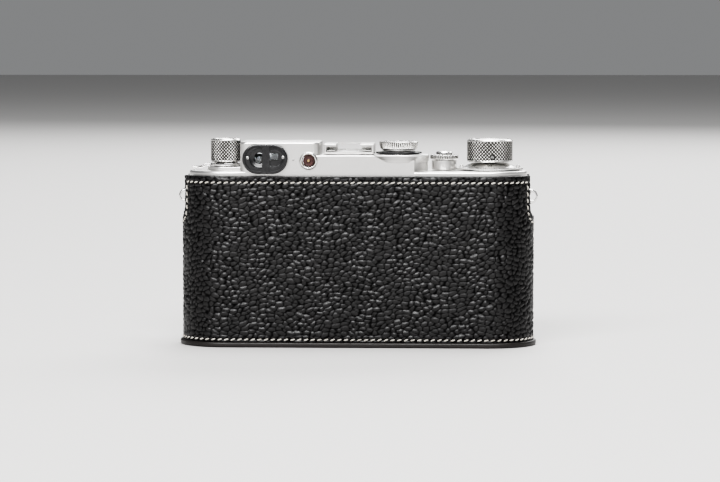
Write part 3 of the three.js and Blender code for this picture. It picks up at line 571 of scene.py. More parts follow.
def diamond_knurl(radius, pitch, depth, low, high):
    """Relief of small pyramids between two heights on the outside of a knob."""
    count = round(2 * math.pi * radius / pitch)

    def relief(angle, height, here):
        across, along = angle * count / (2 * math.pi), height / pitch
        first = np.abs((across + along) % 1 - 0.5) * 2
        second = np.abs((across - along) % 1 - 0.5) * 2
        peak = np.minimum(first, second)
        on = (here > radius - 0.45) * faded(height, low, high, 0.25)
        return -depth * on * (1 - np.minimum(1.35 * peak, 1)), 1 - on * (1 - peak)

    return relief


def ribbed(count, depth, low, high, above):
    """Relief of straight ribs between two heights, where the profile lies beyond a radius."""
    def relief(angle, height, here):
        wave = 0.5 - 0.5 * np.cos(angle * count)
        on = (here > above) * faded(height, low, high, 0.15)
        return -depth * on * (1 - wave ** 0.6), 1 - on * (1 - wave)

    return relief


def gripped(name, corners, paint, centre, sides, relief, rows, axis="Z", soft=0.12, closed=True):
    """A turned piece with close rows of points, (low, high, step), where the relief of its grip bends it."""
    profile = with_rows(rounded(corners, soft, closed=closed), *rows)
    if closed:
        profile.append(profile[0])
    return lathe(name, profile, paint, centre, axis, sides, 0, relief)


def repaint(obj, paint, centre, zones, axis="Z"):
    """Gives a second paint to faces in any zone: (widest radius from the axis, lowest place along it)."""
    mesh = obj.data
    mesh.materials.append(PAINTS[paint])
    origin = Vector(placed(centre, axis)) * MM
    for face in mesh.polygons:
        corners = [mesh.vertices[v].co - origin for v in face.vertices]
        widest = max((corner.xy if axis == "Z" else corner.xz).length for corner in corners)
        lowest = min(corner.z if axis == "Z" else corner.y for corner in corners)
        if any(widest < radius * MM and lowest > start * MM for radius, start in zones):
            face.material_index = 1


def figures(name, marks, size):
    """Small figures: each mark is (text, place, reading direction, facing direction)."""
    objects = []
    for text, place, reading, facing in marks:
        curve = bpy.data.curves.new(name, "FONT")
        curve.body = text
        curve.size = size * 1.4 * MM
        curve.align_x, curve.align_y = "CENTER", "CENTER"
        curve.extrude = 0.03 * MM
        curve.resolution_u = 2
        holder = link(bpy.data.objects.new(name, curve))
        graph = bpy.context.evaluated_depsgraph_get()
        mesh = bpy.data.meshes.new_from_object(holder.evaluated_get(graph))
        bpy.data.objects.remove(holder)
        facing, reading = Vector(facing).normalized(), Vector(reading).normalized()
        turn = Matrix((reading, facing.cross(reading), facing)).transposed().to_4x4()
        mesh.transform(Matrix.Translation(Vector(place) * MM) @ turn)
        mesh.materials.clear()
        mesh.materials.append(PAINTS["engraving_and_slot_shade"])
        objects.append(link(bpy.data.objects.new(name, mesh)))
    return joined(name, objects)


def strokes(name, marks, paint="engraving_and_slot_shade", width=0.16, thick=0.03):
    """Engraved lines, and dark strips that stand in as painted shade for slots and grooves: each mark is
    (start, end, facing direction).
    """
    verts, faces = [], []
    for start, end, facing in marks:
        start, end, facing = Vector(start), Vector(end), Vector(facing).normalized()
        side = (end - start).normalized().cross(facing) * width / 2
        first = len(verts)
        for lift in (-thick, thick):
            for place, across in ((start, -1), (end, -1), (end, 1), (start, 1)):
                verts.append(tuple(place + side * across + facing * lift))
        faces += [tuple(first + k for k in f) for f in (
            (0, 1, 2, 3), (4, 7, 6, 5), (0, 4, 5, 1), (1, 5, 6, 2), (2, 6, 7, 3), (3, 7, 4, 0))]
    return tidy(object_from(name, verts, faces, paint))


def round_the_dial(centre, radius, height, angle):
    """A place on a level circle, at an angle in degrees, and the outward direction there."""
    across, ahead = math.cos(math.radians(angle)), math.sin(math.radians(angle))
    return (centre[0] + radius * across, centre[1] + radius * ahead, height), (across, ahead, 0)


def dial_marks(centre, texts, radius, height, first, step, lean=0.0):
    """Marks for figures round a dial, tops outwards, on a face that leans out by an angle."""
    marks = []
    for k, text in enumerate(texts):
        place, out = round_the_dial(centre, radius, height, first + step * k)
        facing = (out[0] * math.sin(lean), out[1] * math.sin(lean), math.cos(lean))
        marks.append((text, place, (out[1], -out[0], 0), facing))
    return marks


def dial_ticks(centre, angles, inner, outer):
    """Marks for lines from an inner to an outer (radius, height) of a dial."""
    ends = [[round_the_dial(centre, *end, angle)[0] for end in (inner, outer)] for angle in angles]
    return [(start, end, UP) for start, end in ends]


def arrow_marks(centre, height, tail, tip, barb):
    """Marks for an arrow along X: its shaft and the two strokes of its head."""
    x, y = centre
    starts = ((-tail, 0), barb, (barb[0], -barb[1]))
    return [((x + dx, y + dy, height), (x + tip, y, height), UP) for dx, dy in starts]


def slotted_screw(name, place, radius, facing, turn):
    """A small countersunk screw whose head faces along Y, forwards for 1 and backwards for -1."""
    x, y, z = place
    head = [(0, -0.5), (radius, -0.5), (radius, 0), (radius * 0.6, 0.08), (0, 0.12)]
    screw = lathe(name, [(r, y + facing * h) for r, h in head], "steel", (x, z), "Y", 28, 0.03)
    # Painted shade: the slot is not cut, a thin dark strip on the head stands for it.
    across, up = radius * 0.85 * math.cos(turn), radius * 0.85 * math.sin(turn)
    ends = [(x + s * across, y + facing * 0.1, z + s * up) for s in (-1, 1)]
    cleft = strokes(name + "_slot", [(*ends, (0, facing, 0))], width=radius * 0.3)
    return joined(name, [screw, cleft])


def moved(obj, shift, scale=(1, 1, 1)):
    """Stretches a mesh about the origin and then shifts it, in millimetres."""
    obj.data.transform(Matrix.Translation(Vector(shift) * MM) @ Matrix.Diagonal((*scale, 1)))
    return obj


def turned_about(obj, angle, axis, centre=(0, 0, 0)):
    """Turns a mesh about an axis through a point in millimetres."""
    place = Matrix.Translation(Vector(centre) * MM)
    obj.data.transform(place @ Matrix.Rotation(angle, 4, axis) @ place.inverted())
    return obj


def hole(centre, radius, low, high, axis="Z", sides=48):
    """A round cutter between two places on its axis."""
    profile = [(0, low), (radius, low), (radius, high), (0, high)]
    return lathe("hole", profile, "matt_black", centre, axis, sides, 0)


# ---------------------------------------------------------------- leather half case

ARC = math.pi * CASE_R
STRAIGHT = 2 * END_X
PERIMETER = 2 * (STRAIGHT + ARC)
RIGHT_END, FRONT, LEFT_END = END_X, END_X + ARC, END_X + ARC + STRAIGHT


def around(u, radius):
    """Places and outward normals at distance u along the case's outline, from its rear middle towards +X."""
    u = np.mod(u, PERIMETER)
    rear_x = np.where(u < RIGHT_END, u, u - PERIMETER)
    right = -math.pi / 2 + (u - RIGHT_END) / CASE_R
    left = math.pi / 2 + (u - LEFT_END) / CASE_R
    limits = (RIGHT_END, FRONT, LEFT_END, LEFT_END + ARC)
    parts = [(u >= start) & (u < end) for start, end in zip(limits, limits[1:])]
    zero = np.zeros_like(u)
    nx = np.select(parts, [np.cos(right), zero, np.cos(left)], zero)
    ny = np.select(parts, [np.sin(right), zero + 1, np.sin(left)], zero - 1)
    cx = np.select(parts, [zero + END_X, END_X - (u - FRONT), zero - END_X], rear_x)
    return cx + nx * radius, ny * radius, nx, ny


def case_openings(grow):
    """The two lug notches and the lens cut-out as (left, right, bottom, corner radius) in u and z."""
    half = CASE_R * math.asin(NOTCH["half"] / CASE_R) + grow
    middle = {"right": RIGHT_END + ARC / 2, "left": LEFT_END + ARC / 2}
    notches = [(middle[s] - half, middle[s] + half, NOTCH["bottom"] - grow, NOTCH["corner"] + grow)
               for s in ("right", "left")]
    front = (FRONT + END_X - FRONT_CUT["right"] - grow, FRONT + END_X - FRONT_CUT["left"] + grow,
             FRONT_CUT["bottom"] - grow, FRONT_CUT["corner"] + grow)
    return [notches[0], front, notches[1]]


def in_opening(u, z, opening):
    left, right, bottom, corner = opening
    inside = (u > left) & (u < right) & (z > bottom)
    du = np.maximum(np.maximum(left + corner - u, u - right + corner), 0)
    dz = np.maximum(bottom + corner - z, 0)
    return inside & ~((du > 0) & (dz > 0) & (du ** 2 + dz ** 2 > corner ** 2))


def grid_lines(low, high, spacing, snapped):
    lines = np.linspace(low, high, max(2, round((high - low) / spacing)) + 1)
    for value in snapped:
        if low < value < high:
            lines[np.argmin(np.abs(lines - value))] = value
    return lines


def keep_mask(columns, u, z, openings):
    """Which squares of the grid lie outside every opening."""
    u_mid = (u + np.roll(u, -1, axis=0)) / 2
    u_mid[-1] = (columns[-1] + PERIMETER) / 2
    z_mid = (z[:, :-1] + z[:, 1:]) / 2
    keep = np.ones_like(z_mid, bool)
    for opening in openings:
        keep &= ~in_opening(u_mid[:, :-1], z_mid, opening)
    return keep


def round_corners(u, z, keep, openings, spacing):
    """Moves the stepped points round the openings' lower corners onto their arcs."""
    touching = np.zeros_like(u, int)
    for shift in (0, 1):
        beside = np.roll(keep, shift, axis=0)
        touching[:, :-1] += beside
        touching[:, 1:] += beside
    edge = (touching > 0) & (touching < 4)
    for left, right, bottom, corner in openings:
        for centre in (left + corner, right - corner):
            outwards = u - centre if centre > (left + right) / 2 else centre - u
            near = edge & (outwards > 0) & (outwards < corner + spacing) & (z < bottom + corner)
            near &= z > bottom - spacing
            distance = np.hypot(u - centre, z - bottom - corner)
            distance[distance < 1e-6] = 1
            u = np.where(near, centre + (u - centre) * corner / distance, u)
            z = np.where(near, bottom + corner + (z - bottom - corner) * corner / distance, z)
    return u, z


def sheet(name, radius, low, top, spacing, openings, rim, paint, relief=None):
    """A skin round the camera with its openings cut out and its edges turned in along the rim profile."""
    columns = grid_lines(0, PERIMETER, spacing, [edge for o in openings for edge in o[:2]])[:-1]
    rows = grid_lines(low, top, spacing, [o[2] for o in openings])
    u, z = np.meshgrid(columns, rows, indexing="ij")
    keep = keep_mask(columns, u, z, openings)
    u, z = round_corners(u, z, keep, openings, spacing)
    height, raised = relief(u, z) if relief else (np.zeros_like(u), np.ones_like(u))
    x, y, nx, ny = around(u, radius + height)
    verts = np.stack([x, y, z], axis=-1).reshape(-1, 3)
    normals = np.stack([nx, ny, np.zeros_like(nx)], axis=-1).reshape(-1, 3)
    index = np.arange(u.size).reshape(u.shape)
    across = np.roll(index, -1, axis=0)
    quads = np.stack([index[:, :-1], across[:, :-1], across[:, 1:], index[:, 1:]], axis=-1)[keep]
    verts, raised, quads = turned_edges(verts, normals, raised.ravel(), quads, rim)
    used, quads = np.unique(quads, return_inverse=True)
    return object_from(name, verts[used], quads.reshape(-1, 4), paint, 50, raised[used])


def turned_edges(verts, normals, raised, quads, rim):
    """Adds a strip along every open edge: each rim step is (out past the edge, in from the surface)."""
    pairs = np.stack([quads, np.roll(quads, -1, axis=1)], axis=-1).reshape(-1, 2)
    owner = np.repeat(np.arange(len(quads)), 4)
    _, first, counts = np.unique(np.sort(pairs, axis=1), axis=0, return_index=True, return_counts=True)
    open_edges = first[counts == 1]
    edges, faces = pairs[open_edges], quads[owner[open_edges]]
    outwards = verts[edges].mean(axis=1) - verts[faces].mean(axis=1)
    points = np.unique(edges)
    a, b = np.searchsorted(points, edges).T
    push = np.zeros((len(points), 3))
    for slot in (a, b):
        np.add.at(push, slot, outwards)
    n = normals[points]
    push -= n * (push * n).sum(axis=1, keepdims=True)
    push /= np.maximum(np.linalg.norm(push, axis=1, keepdims=True), 1e-9)
    before = points
    for out, inwards in rim:
        ring = np.arange(len(verts), len(verts) + len(points))
        verts = np.concatenate([verts, verts[points] + push * out - n * inwards])
        raised = np.concatenate([raised, np.full(len(points), 0.9)])
        quads = np.concatenate([quads, np.stack([before[b], before[a], ring[a], ring[b]], axis=1)])
        before = ring
    return verts, raised, quads


def pebbles(u, z):
    """Leather grain: cushions in wavy rows, parted by creases. Gives heights in mm and values of raised."""
    dice = np.random.default_rng(11)
    wide, tall, wander, stagger = 2.75, 1.8, 0.34, 0.25
    across, up = round(PERIMETER / wide), 50
    jitter = dice.uniform(-wander, wander, (across, up, 2))
    jitter[:, ::2, 0] += stagger
    jitter[:, 1::2, 0] -= stagger
    lift = dice.uniform(-0.5, 0.5, (across, up))
    gu = u / PERIMETER * across + 0.18 * np.sin(z * 0.9 + 1.3) + 0.12 * np.sin(u * 1.7)
    gz = z / tall + 3 + 0.45 * np.sin(u * 0.21 + np.sin(z * 0.13)) + 0.18 * np.sin(u * 0.67 + 0.4 * z)
    iu, iz = np.floor(gu).astype(int), np.floor(gz).astype(int)
    nearest = np.full(u.shape, 9.0)
    second = np.full(u.shape, 9.0)
    cushion = np.zeros(u.shape)
    for du in range(-2, 3):
        for dz in range(-2, 3):
            cu, cz = np.mod(iu + du, across), np.clip(iz + dz, 0, up - 1)
            centre_u = iu + du + 0.5 + jitter[cu, cz, 0]
            centre_z = iz + dz + 0.5 + jitter[cu, cz, 1]
            distance = np.hypot(gu - centre_u, gz - centre_z)
            closer = distance < nearest
            second = np.where(closer, nearest, np.minimum(second, distance))
            cushion = np.where(closer, lift[cu, cz], cushion)
            nearest = np.where(closer, distance, nearest)
    crease = np.clip((second - nearest) / 0.5, 0, 1)
    crease = crease * crease * (3 - 2 * crease)
    depth = 0.72 + 0.28 * np.sin(0.31 * u + 1.7 * np.sin(0.23 * z) + 0.9 * np.sin(0.11 * u))
    height = (0.16 * crease - 0.95 * nearest ** 2) * depth + 0.05 * cushion + 0.02
    return height, crease


def corner_path(corners):
    """A route through (u, z, radius) corners, with each corner rounded off."""
    path = [corners[0][:2]]
    for before, here, after in zip(corners, corners[1:], corners[2:]):
        path += bend(before[:2], here[:2], after[:2], here[2], 0.49, 8)
    return np.array(path + [corners[-1][:2]])


def evenly(path, pitch):
    """Points and headings every pitch along a path; the pitch is stretched so that they come out even."""
    steps = np.linalg.norm(np.diff(path, axis=0), axis=1)
    along = np.concatenate([[0], np.cumsum(steps)])
    count = max(2, round(along[-1] / pitch))
    at = (np.arange(count) + 0.5) * along[-1] / count
    point = np.stack([np.interp(at, along, path[:, k]) for k in (0, 1)], axis=1)
    ahead = np.stack([np.interp(at + 0.3, along, path[:, k]) for k in (0, 1)], axis=1)
    behind = np.stack([np.interp(at - 0.3, along, path[:, k]) for k in (0, 1)], axis=1)
    heading = np.arctan2(*(ahead - behind).T[::-1])
    return point, heading


def upper_stitch_path():
    inset, top = STITCH["inset"], WALL_TOP
    corners = [(0, top - inset, 0)]
    for left, right, bottom, corner in case_openings(0):
        corners += [(left - inset, top - inset, 1.2), (left - inset, bottom - inset, corner + inset),
                    (right + inset, bottom - inset, corner + inset), (right + inset, top - inset, 1.2)]
    return corner_path(corners + [(PERIMETER, top - inset, 0)])


def case_relief(u, z):
    """Pebbled grain that is pressed flatter by the seams and along the top edge."""
    height, crease = pebbles(u, z)
    seam = evenly(upper_stitch_path(), 0.9)[0]
    distance = np.full(u.shape, 9.0)
    for su, sz in seam:
        near = np.abs(u - su) < 3
        distance[near] = np.minimum(distance[near], np.hypot(u[near] - su, z[near] - sz))
    distance = np.minimum(distance, np.abs(z - STITCH["foot"]))
    groove = np.exp(-(distance / 0.45) ** 2)
    swell = np.exp(-((distance - 1.2) / 0.7) ** 2)
    calm = 1 - 0.55 * np.exp(-(distance / 1.3) ** 2)
    # raised drops in the seam grooves, where the leather paint lays painted shade.
    return height * calm - 0.20 * groove + 0.06 * swell, crease * (1 - 0.75 * groove)


def stitches():
    """Every stitch is a slanted bow of thread whose ends dive into the leather."""
    rings, sides = 9, 8
    along = np.linspace(-1, 1, rings)
    turn = np.linspace(0, 2 * math.pi, sides, endpoint=False)
    thick = STITCH["width"] / 2 * np.sqrt(np.maximum(1 - along ** 4, 0.02))
    forwards = np.repeat(along * STITCH["length"] / 2, sides)
    sideways = (thick[:, None] * np.cos(turn)).ravel()
    outwards = (thick[:, None] * 0.85 * np.sin(turn) + (0.16 - 0.26 * along ** 2)[:, None]).ravel() - 0.06
    verts, faces = [], []
    dice = np.random.default_rng(5)
    for path in (upper_stitch_path(), np.array([(0, STITCH["foot"]), (PERIMETER, STITCH["foot"])])):
        for (cu, cz), heading in zip(*evenly(path, STITCH["pitch"])):
            lean = heading + STITCH["slant"] + dice.normal(0, 0.05)
            u = cu + forwards * math.cos(lean) - sideways * math.sin(lean)
            z = cz + forwards * math.sin(lean) + sideways * math.cos(lean)
            x, y, _, _ = around(u, CASE_R + outwards)
            start, end = len(verts), len(verts) + (rings - 1) * sides
            verts += list(zip(x, y, z))
            faces += ring_faces(start, sides, rings)
            faces += [tuple(range(start, start + sides))[::-1], tuple(range(end, end + sides))]
    thread = object_from("case_stitching", verts, faces, "thread", 180)
    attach(thread, "case")


def leather_case():
    spacing = 0.45
    edge = 0.36
    rim = [(0.12, 0.03), (0.28, 0.16), (edge, 0.42), (edge, 1.28), (0.26, 1.58), (0, LEATHER), (-3, LEATHER)]
    wall = sheet("case_leather", CASE_R, WALL_FOOT, WALL_TOP - edge, spacing, case_openings(edge), rim,
                 "leather", case_relief)
    stand_in(wall, "case_wall")
    foot, top = ranges("case_lining")[2]
    rim = [(0.1, 0.1), (0.1, 0.4), (0, 0.5), (-2.5, 0.5)]
    inside = CASE_R - LEATHER - 0.3
    lining = sheet("case_suede_lining", inside, foot, top - 0.1, 1.2, case_openings(0.7), rim, "suede")
    stand_in(lining, "case_lining")


def screw_thread(angle, height, radius):
    """Relief of a thread on the wall of a bore."""
    turns = height / 1.6 - angle / (2 * math.pi)
    return np.where(radius < 5, 0.12 * np.abs((turns % 1) * 2 - 1), 0), np.ones_like(radius)


def case_sole():
    levels = edge_levels(0, ranges("case_sole")[2][1], 0.2, 0.55)
    sole = loft("case_sole_leather", outline_body(19.1), levels, "edge")
    bush, top = middle("case_tripod_bush").x, ranges("case_tripod_bush")[2][1]
    stand_in(carve(sole, hole((bush, 0), 8.3, -3, 6, sides=96)), "case_sole")
    profile = [(4.75, 0), (8, 0), (8, 1.8), (6.9, 1.8), (6.9, top), (4.75, top), (4.75, 0)]
    collar = lathe("case_bush", profile, "bright", (bush, 0), soft=0.25, relief=screw_thread)
    stand_in(collar, "case_tripod_bush")


# ---------------------------------------------------------------- top cover and what is fixed to it

def plateau_outline(inset, end_radius, rear):
    """A straight rear edge and a round end about the speed dial."""
    x, y = DIAL_AT
    left, right = -36.0, PLATEAU["right"] - inset
    start = math.degrees(math.atan2(-math.sqrt(end_radius ** 2 - (right - x) ** 2), right - x))
    return [(right, rear), *arc(x, y, end_radius, start, 90, 36), (left, y + end_radius), (left, rear)]


def dial_shelf():
    """The ledge that spreads out below the speed dial's rear edge."""
    steps = [(8.6, 73.4), (9.6, 74.3), (10.9, 75.2), (11.8, 75.75), (12.05, 76.1), (11.9, 76.3)]
    shelf = lathe("shelf", [(0, 73.4), *steps, (0, 76.3)], "satin", soft=0.05)
    return moved(shelf, (DIAL_AT[0], -11.9, 0), (1, 0.45, 1))


def cover_outside():
    left, right, rear, front, top = HOUSING.values()
    foot, tier = ranges("top_cover")[2][0], PLATEAU["tier"]
    shapes = (
        ("top_cover_skin", outline_body(COVER_R), (foot, DECK_Z, 0.2, 0.9)),
        ("housing", rectangle(left, right, rear - 0.02, front, 3, 8), (66, top, 0.1, 0.8, 5)),
        ("tier", plateau_outline(0, PLATEAU["lower_end"], rear - 0.01), (66, tier + 0.6, 0.1, 0.1)),
        ("plateau", plateau_outline(0, PLATEAU["end"], rear - 0.015), (tier, PLATEAU["top"], 0.35, 0.55)),
        ("stage", slot_outline(4.2, 7.3, REWIND_AT[0] + 4.2, 0, 24), (66, 71.2, 0.1, 0.35)),
    )
    lofts = [loft(name, outline, edge_levels(*levels), "satin") for name, outline, levels in shapes]
    return fuse(*lofts[:-1], dial_shelf(), lofts[-1])


def cover_inside():
    left, right, rear, front, top = HOUSING.values()
    hollows = (
        (outline_body(COVER_R - 1), 59, DECK_Z),
        (rectangle(left + 1, right - 1, rear + 1, front - 1, 2, 4), 60, top),
        (plateau_outline(1, PLATEAU["lower_end"] - 1, rear + 1), 61, PLATEAU["top"]),
    )
    return [loft("inside", outline, [(low, 0), (high - 1, 0)], "satin") for outline, low, high in hollows]


def cover_holes():
    shafts = ((REWIND_AT, 3.4), (WIND_AT, 2.6), (RELEASE_AT, 1.9), (DIAL_AT, 2.8), (LEVER_AT, 1.2))
    x, z = VIEW_WINDOW
    return [
        *(hole(centre, radius, 65, 85) for centre, radius in shafts),
        hole(RANGE_EYE, 3.0, -20, -10, "Y"),
        box_piece("hole", (-35.2, -30.0), (-20, -10), (73.3, 78.1), "satin"),
        hole(FLASH_AT, 2.47, -20, -10, "Y"),
        hole(NEAR_WINDOW, 2.9, 5, 15, "Y"),
        hole(FAR_WINDOW, 2.1, 5, 15, "Y"),
        box_piece("hole", (x - 4.3, x + 4.3), (5, 15), (z - 3.2, z + 3.2), "satin"),
    ]


def top_cover():
    cover = carve(cover_outside(), *cover_inside(), *cover_holes())
    screws = [slotted_screw("cover_screw", (-25.0, HOUSING["rear"] - 0.05, 74.4), 0.42, -1, 0.9)]
    screws += [slotted_screw("cover_screw", (x, HOUSING["front"] + 0.05, 72.4), 0.9, 1, turn)
               for x, turn in ((-44.0, 0.4), (-17.5, 2.1))]
    stand_in(crisp(joined("chrome_top_cover", [cover, *screws])), "top_cover")


def eyepiece():
    """A dark oval plate: two dished eyepieces on either side of a plain bar, inside a raised rim."""
    (left, right), (rear, front), (bottom, top) = ranges("eyepiece_bezel")
    centre = middle("eyepiece_bezel")
    half = (top - bottom) / 2
    span = (right - left) / 2 - half

    def oval(inset):
        return slot_outline(span, half - inset, centre.x, centre.z, 40)

    def beside_bar(cutter, depth):
        """Keeps the cutter clear of the bar down to a depth."""
        return carve(cutter, box_piece("bar", (-37.35, -34.35), (rear - 2, rear + depth),
                                       (centre.z - half, centre.z + half), "enamel", 0.2, "Y"))

    def dish(place, steps, end):
        profile = [(0, rear - 1), *((radius, rear + depth) for radius, depth in steps), (0, end)]
        return lathe("dish", profile, "enamel", place, "Y", 64, 0.08)

    rim = [(front, 0), (rear + 0.5, 0), (rear + 0.2, 0.1), (rear + 0.04, 0.35), (rear, 0.6)]
    bezel = loft("eyepiece_plate", oval(0), rim, "enamel", "Y")
    sunk = loft("sink", oval(1.15), [(rear - 1, -0.45), (rear + 0.55, 0)], "enamel", "Y")
    steps = [(4.1, -1), (4.1, 0.6), (3.6, 0.95), (3.0, 1.15), (2.2, 1.35), (2.2, front + 1 - rear)]
    range_dish = dish(RANGE_EYE, steps, front + 1)
    x, z = VIEW_EYE
    view_dish = dish((x, z - 0.6), [(3.9, -1), (3.9, 0.6), (3.5, 0.8), (3.5, 0.95), (2.9, 1.0)], rear + 1.0)
    through = (rear - 1, front + 1)
    view = box_piece("window", (x - 1.7, x + 1.7), through, (z - 1.4, z + 1.4), "enamel", 0.1, "Y")
    carve(bezel, beside_bar(sunk, 2), beside_bar(range_dish, 0.9), beside_bar(view_dish, 3), view)
    screws = [slotted_screw("bezel_screw", (x, rear + 0.5, z), 0.6, -1, turn)
              for x, z, turn in ((-43.15, 75.2, 0.5), (-29.0, 75.4, 2.0))]
    stand_in(crisp(joined("eyepiece_plate", [bezel, *screws])), "eyepiece_bezel")


def eyepiece_glasses():
    _, (rear, front), _ = ranges("rangefinder_eyepiece_lens")
    radius = 1.9
    bulge = [(radius * k / 6, front - 0.6 * (k / 6) ** 2) for k in range(6, -1, -1)]
    profile = [(0, rear), (radius, rear), *bulge]
    glass = lathe("rangefinder_eyepiece_lens_glass", profile, "glass", RANGE_EYE, "Y", 48, 0.05)
    stand_in(glass, "rangefinder_eyepiece_lens")
    pane = box_piece("viewfinder_glass", *ranges("viewfinder_eyepiece_lens"), "glass", 0.12, "Y")
    stand_in(crisp(pane), "viewfinder_eyepiece_lens")


def flash_socket():
    _, (rear, front), _ = ranges("flash_socket_ring")
    profile = [(2.47, front), (2.47, rear + 0.35), (2.75, rear), (3.2, rear), (3.62, front - 0.35),
               (3.62, front), (2.47, front)]
    stand_in(lathe("flash_ring", profile, "bright", FLASH_AT, "Y", 64), "flash_socket_ring")
    _, (rear, front), _ = ranges("flash_socket_core")
    face = -15.7
    profile = [(0, front), (2.17, front), (2.17, face), (1.75, face), (1.6, face + 0.35), (0.95, face + 0.35),
               (0.8, face - 0.05), (0, face - 0.05)]
    core = lathe("flash_core", profile, "red_core", FLASH_AT, "Y", 48, 0.06)
    profile = [(0, face + 0.5), (0.5, face + 0.5), (0.5, rear + 0.15), (0.35, rear), (0, rear)]
    pin = lathe("flash_pin", profile, "brass", FLASH_AT, "Y", 24, 0.04)
    stand_in(joined("flash_socket_insulator", [core, pin]), "flash_socket_core")


def accessory_shoe():
    (left, right), (rear, front), (bottom, top) = ranges("accessory_shoe")
    floor_top, lip_bottom, wall, mouth = 77.4, 79.6, 0.9, (-8.35, 1.35)
    shoe = box_piece("shoe", (left, right), (rear, front), (bottom, top), "satin", 0.3)
    cuts = [box_piece("cut", x, (rear - 1, end), z, "satin", soft) for x, end, z, soft in (
        ((left + wall, right - wall), front - 1.2, (floor_top, lip_bottom), 0.12),
        (mouth, front - 1.2, (lip_bottom - 1, top + 1), 0.1),
        (mouth, front + 1, (floor_top, top - 0.5), 0.1),
    )]
    carve(shoe, *cuts)
    screws = []
    for x, y in ((-7.0, -6.0), (0.4, -6.0), (-7.0, 4.0), (0.4, 4.0)):
        profile = [(0, 77.0), (1.15, 77.0), (1.15, 77.42), (0.9, 77.5), (0, 77.55)]
        screws.append(lathe("shoe_screw", profile, "steel", (x, y), sides=32, soft=0.04))
        # Painted shade: a dark strip on each screw head stands for its slot.
        cleft = ((x - 0.9, y - 0.4, 77.56), (x + 0.9, y + 0.4, 77.56), UP)
        screws.append(strokes("shoe_screw_slot", [cleft], width=0.26))
    stand_in(crisp(joined("accessory_shoe_rails", [shoe, *screws])), "accessory_shoe")
    across, (rear, front), (bottom, _) = ranges("shoe_spring")
    leaf = box_piece("shoe_leaf", across, (rear, front), (bottom, bottom + 0.4), "steel", 0.1)
    mouth_x = (mouth[0] - 0.6, mouth[1] + 0.6)
    inner = box_piece("cut", mouth_x, (rear - 2, front - 2), (bottom - 1, bottom + 2), "steel", 0.2)
    stand_in(crisp(carve(leaf, inner)), "shoe_spring")


def strap_lugs():
    inner_x, tip_x, half = 68.2, 72.3, 3.1
    for node, side in (("strap_lug_right", 1), ("strap_lug_left", -1)):
        _, (rear, front), (bottom, top) = ranges(node)
        z = (bottom + top) / 2
        quarter = math.pi / 2 * side
        outline = rectangle(rear, front, bottom, top, 1.5)
        foot = plate("lug_foot", outline, inner_x, inner_x + 0.7, "bright", "Y", 0.2)
        turned_about(foot, -quarter, "Z")
        tab = [(inner_x, z - half), *arc(inner_x + 1, z, half, -90, 90, 24), (inner_x, z + half)]
        outline = [(x * side, rise) for x, rise in tab][::side]
        eyelet = loft("lug_eye", outline, edge_levels(-1.1, 1.1, 0.5, 0.5), "bright", "Y")
        profile = [(0, -3), (2.2, -3), (1.5, -0.6), (1.5, 0.6), (2.2, 3), (0, 3)]
        bore = lathe("hole", profile, "bright", ((tip_x - 2.2) * side, z), "Y", 40, 0.3)
        screws = [slotted_screw("lug_screw", (0, 0, 0), 0.6, -1, 0.7) for _ in range(2)]
        for screw, rise in zip(screws, (-3.72, 3.72)):
            moved(turned_about(screw, quarter, "Z"), ((inner_x + 0.75) * side, 0, z + rise))
        stand_in(crisp(joined("strap_lug", [carve(eyelet, bore), foot, *screws])), node)


def front_windows():
    for node, place, outer, inner in (("near_range_window", NEAR_WINDOW, 4.1, 2.9),
                                      ("far_range_window", FAR_WINDOW, 3.1, 2.1)):
        _, (rear, front), _ = ranges(node)
        profile = [(inner, rear), (outer, rear), (outer, front - 0.5), (outer - 0.5, front),
                   (inner + 0.25, front), (inner, front - 0.3), (inner, rear)]
        rim = lathe("rim", profile, "bright", place, "Y", 64, 0.1)
        profile = [(0, rear), (inner, rear), (inner, front - 0.6), (0, front - 0.55)]
        pane = lathe("pane", profile, "glass", place, "Y", 48, 0.02)
        stand_in(joined(node + "_glazed", [pane, rim]), node)
    (left, right), (rear, front), (bottom, top) = ranges("viewfinder_window")
    levels = [(rear, 0), (front - 0.4, 0), (front - 0.1, 0.12), (front, 0.4), (front, 0.8),
              (front - 0.25, 1.1), (rear, 1.1)]
    rim = loft("rim", rectangle(left, right, bottom, top, 1.4), levels, "bright", "Y", closed=True)
    across, up = (left + 1.05, right - 1.05), (bottom + 1.05, top - 1.05)
    pane = box_piece("pane", across, (rear, front - 0.6), up, "glass", 0.05, "Y")
    stand_in(crisp(joined("viewfinder_window_glazed", [pane, rim])), "viewfinder_window")


# ---------------------------------------------------------------- knobs, dials and levers

def rewind_knob():
    top, radius = ranges("rewind_knob")[2][1], 6.05
    corners = [(0, 58), (1.6, 58), (1.6, 71.5), (4.1, 71.5), (4.8, 73.0), (5.65, 73.0), (radius, 73.4),
               (radius, top - 0.6), (radius - 0.6, top), (4.4, top), (4.2, top - 0.18), (0, top - 0.18)]
    knurl = diamond_knurl(radius, 1.35, 0.34, 73.55, top - 0.7)
    rows = (73.4, top - 0.6, 0.17)
    knob = gripped("rewind_grip", corners, "knurl", REWIND_AT, 312, knurl, rows, soft=0.15, closed=False)
    repaint(knob, "bright", REWIND_AT, [(radius - 0.75, 0)])
    arrow = strokes("rewind_arrow", arrow_marks(REWIND_AT, top - 0.16, 2.2, 2.2, (1.0, 1.0)), width=0.25)
    stand_in(joined("rewind_knob_knurled", [knob, arrow]), "rewind_knob")


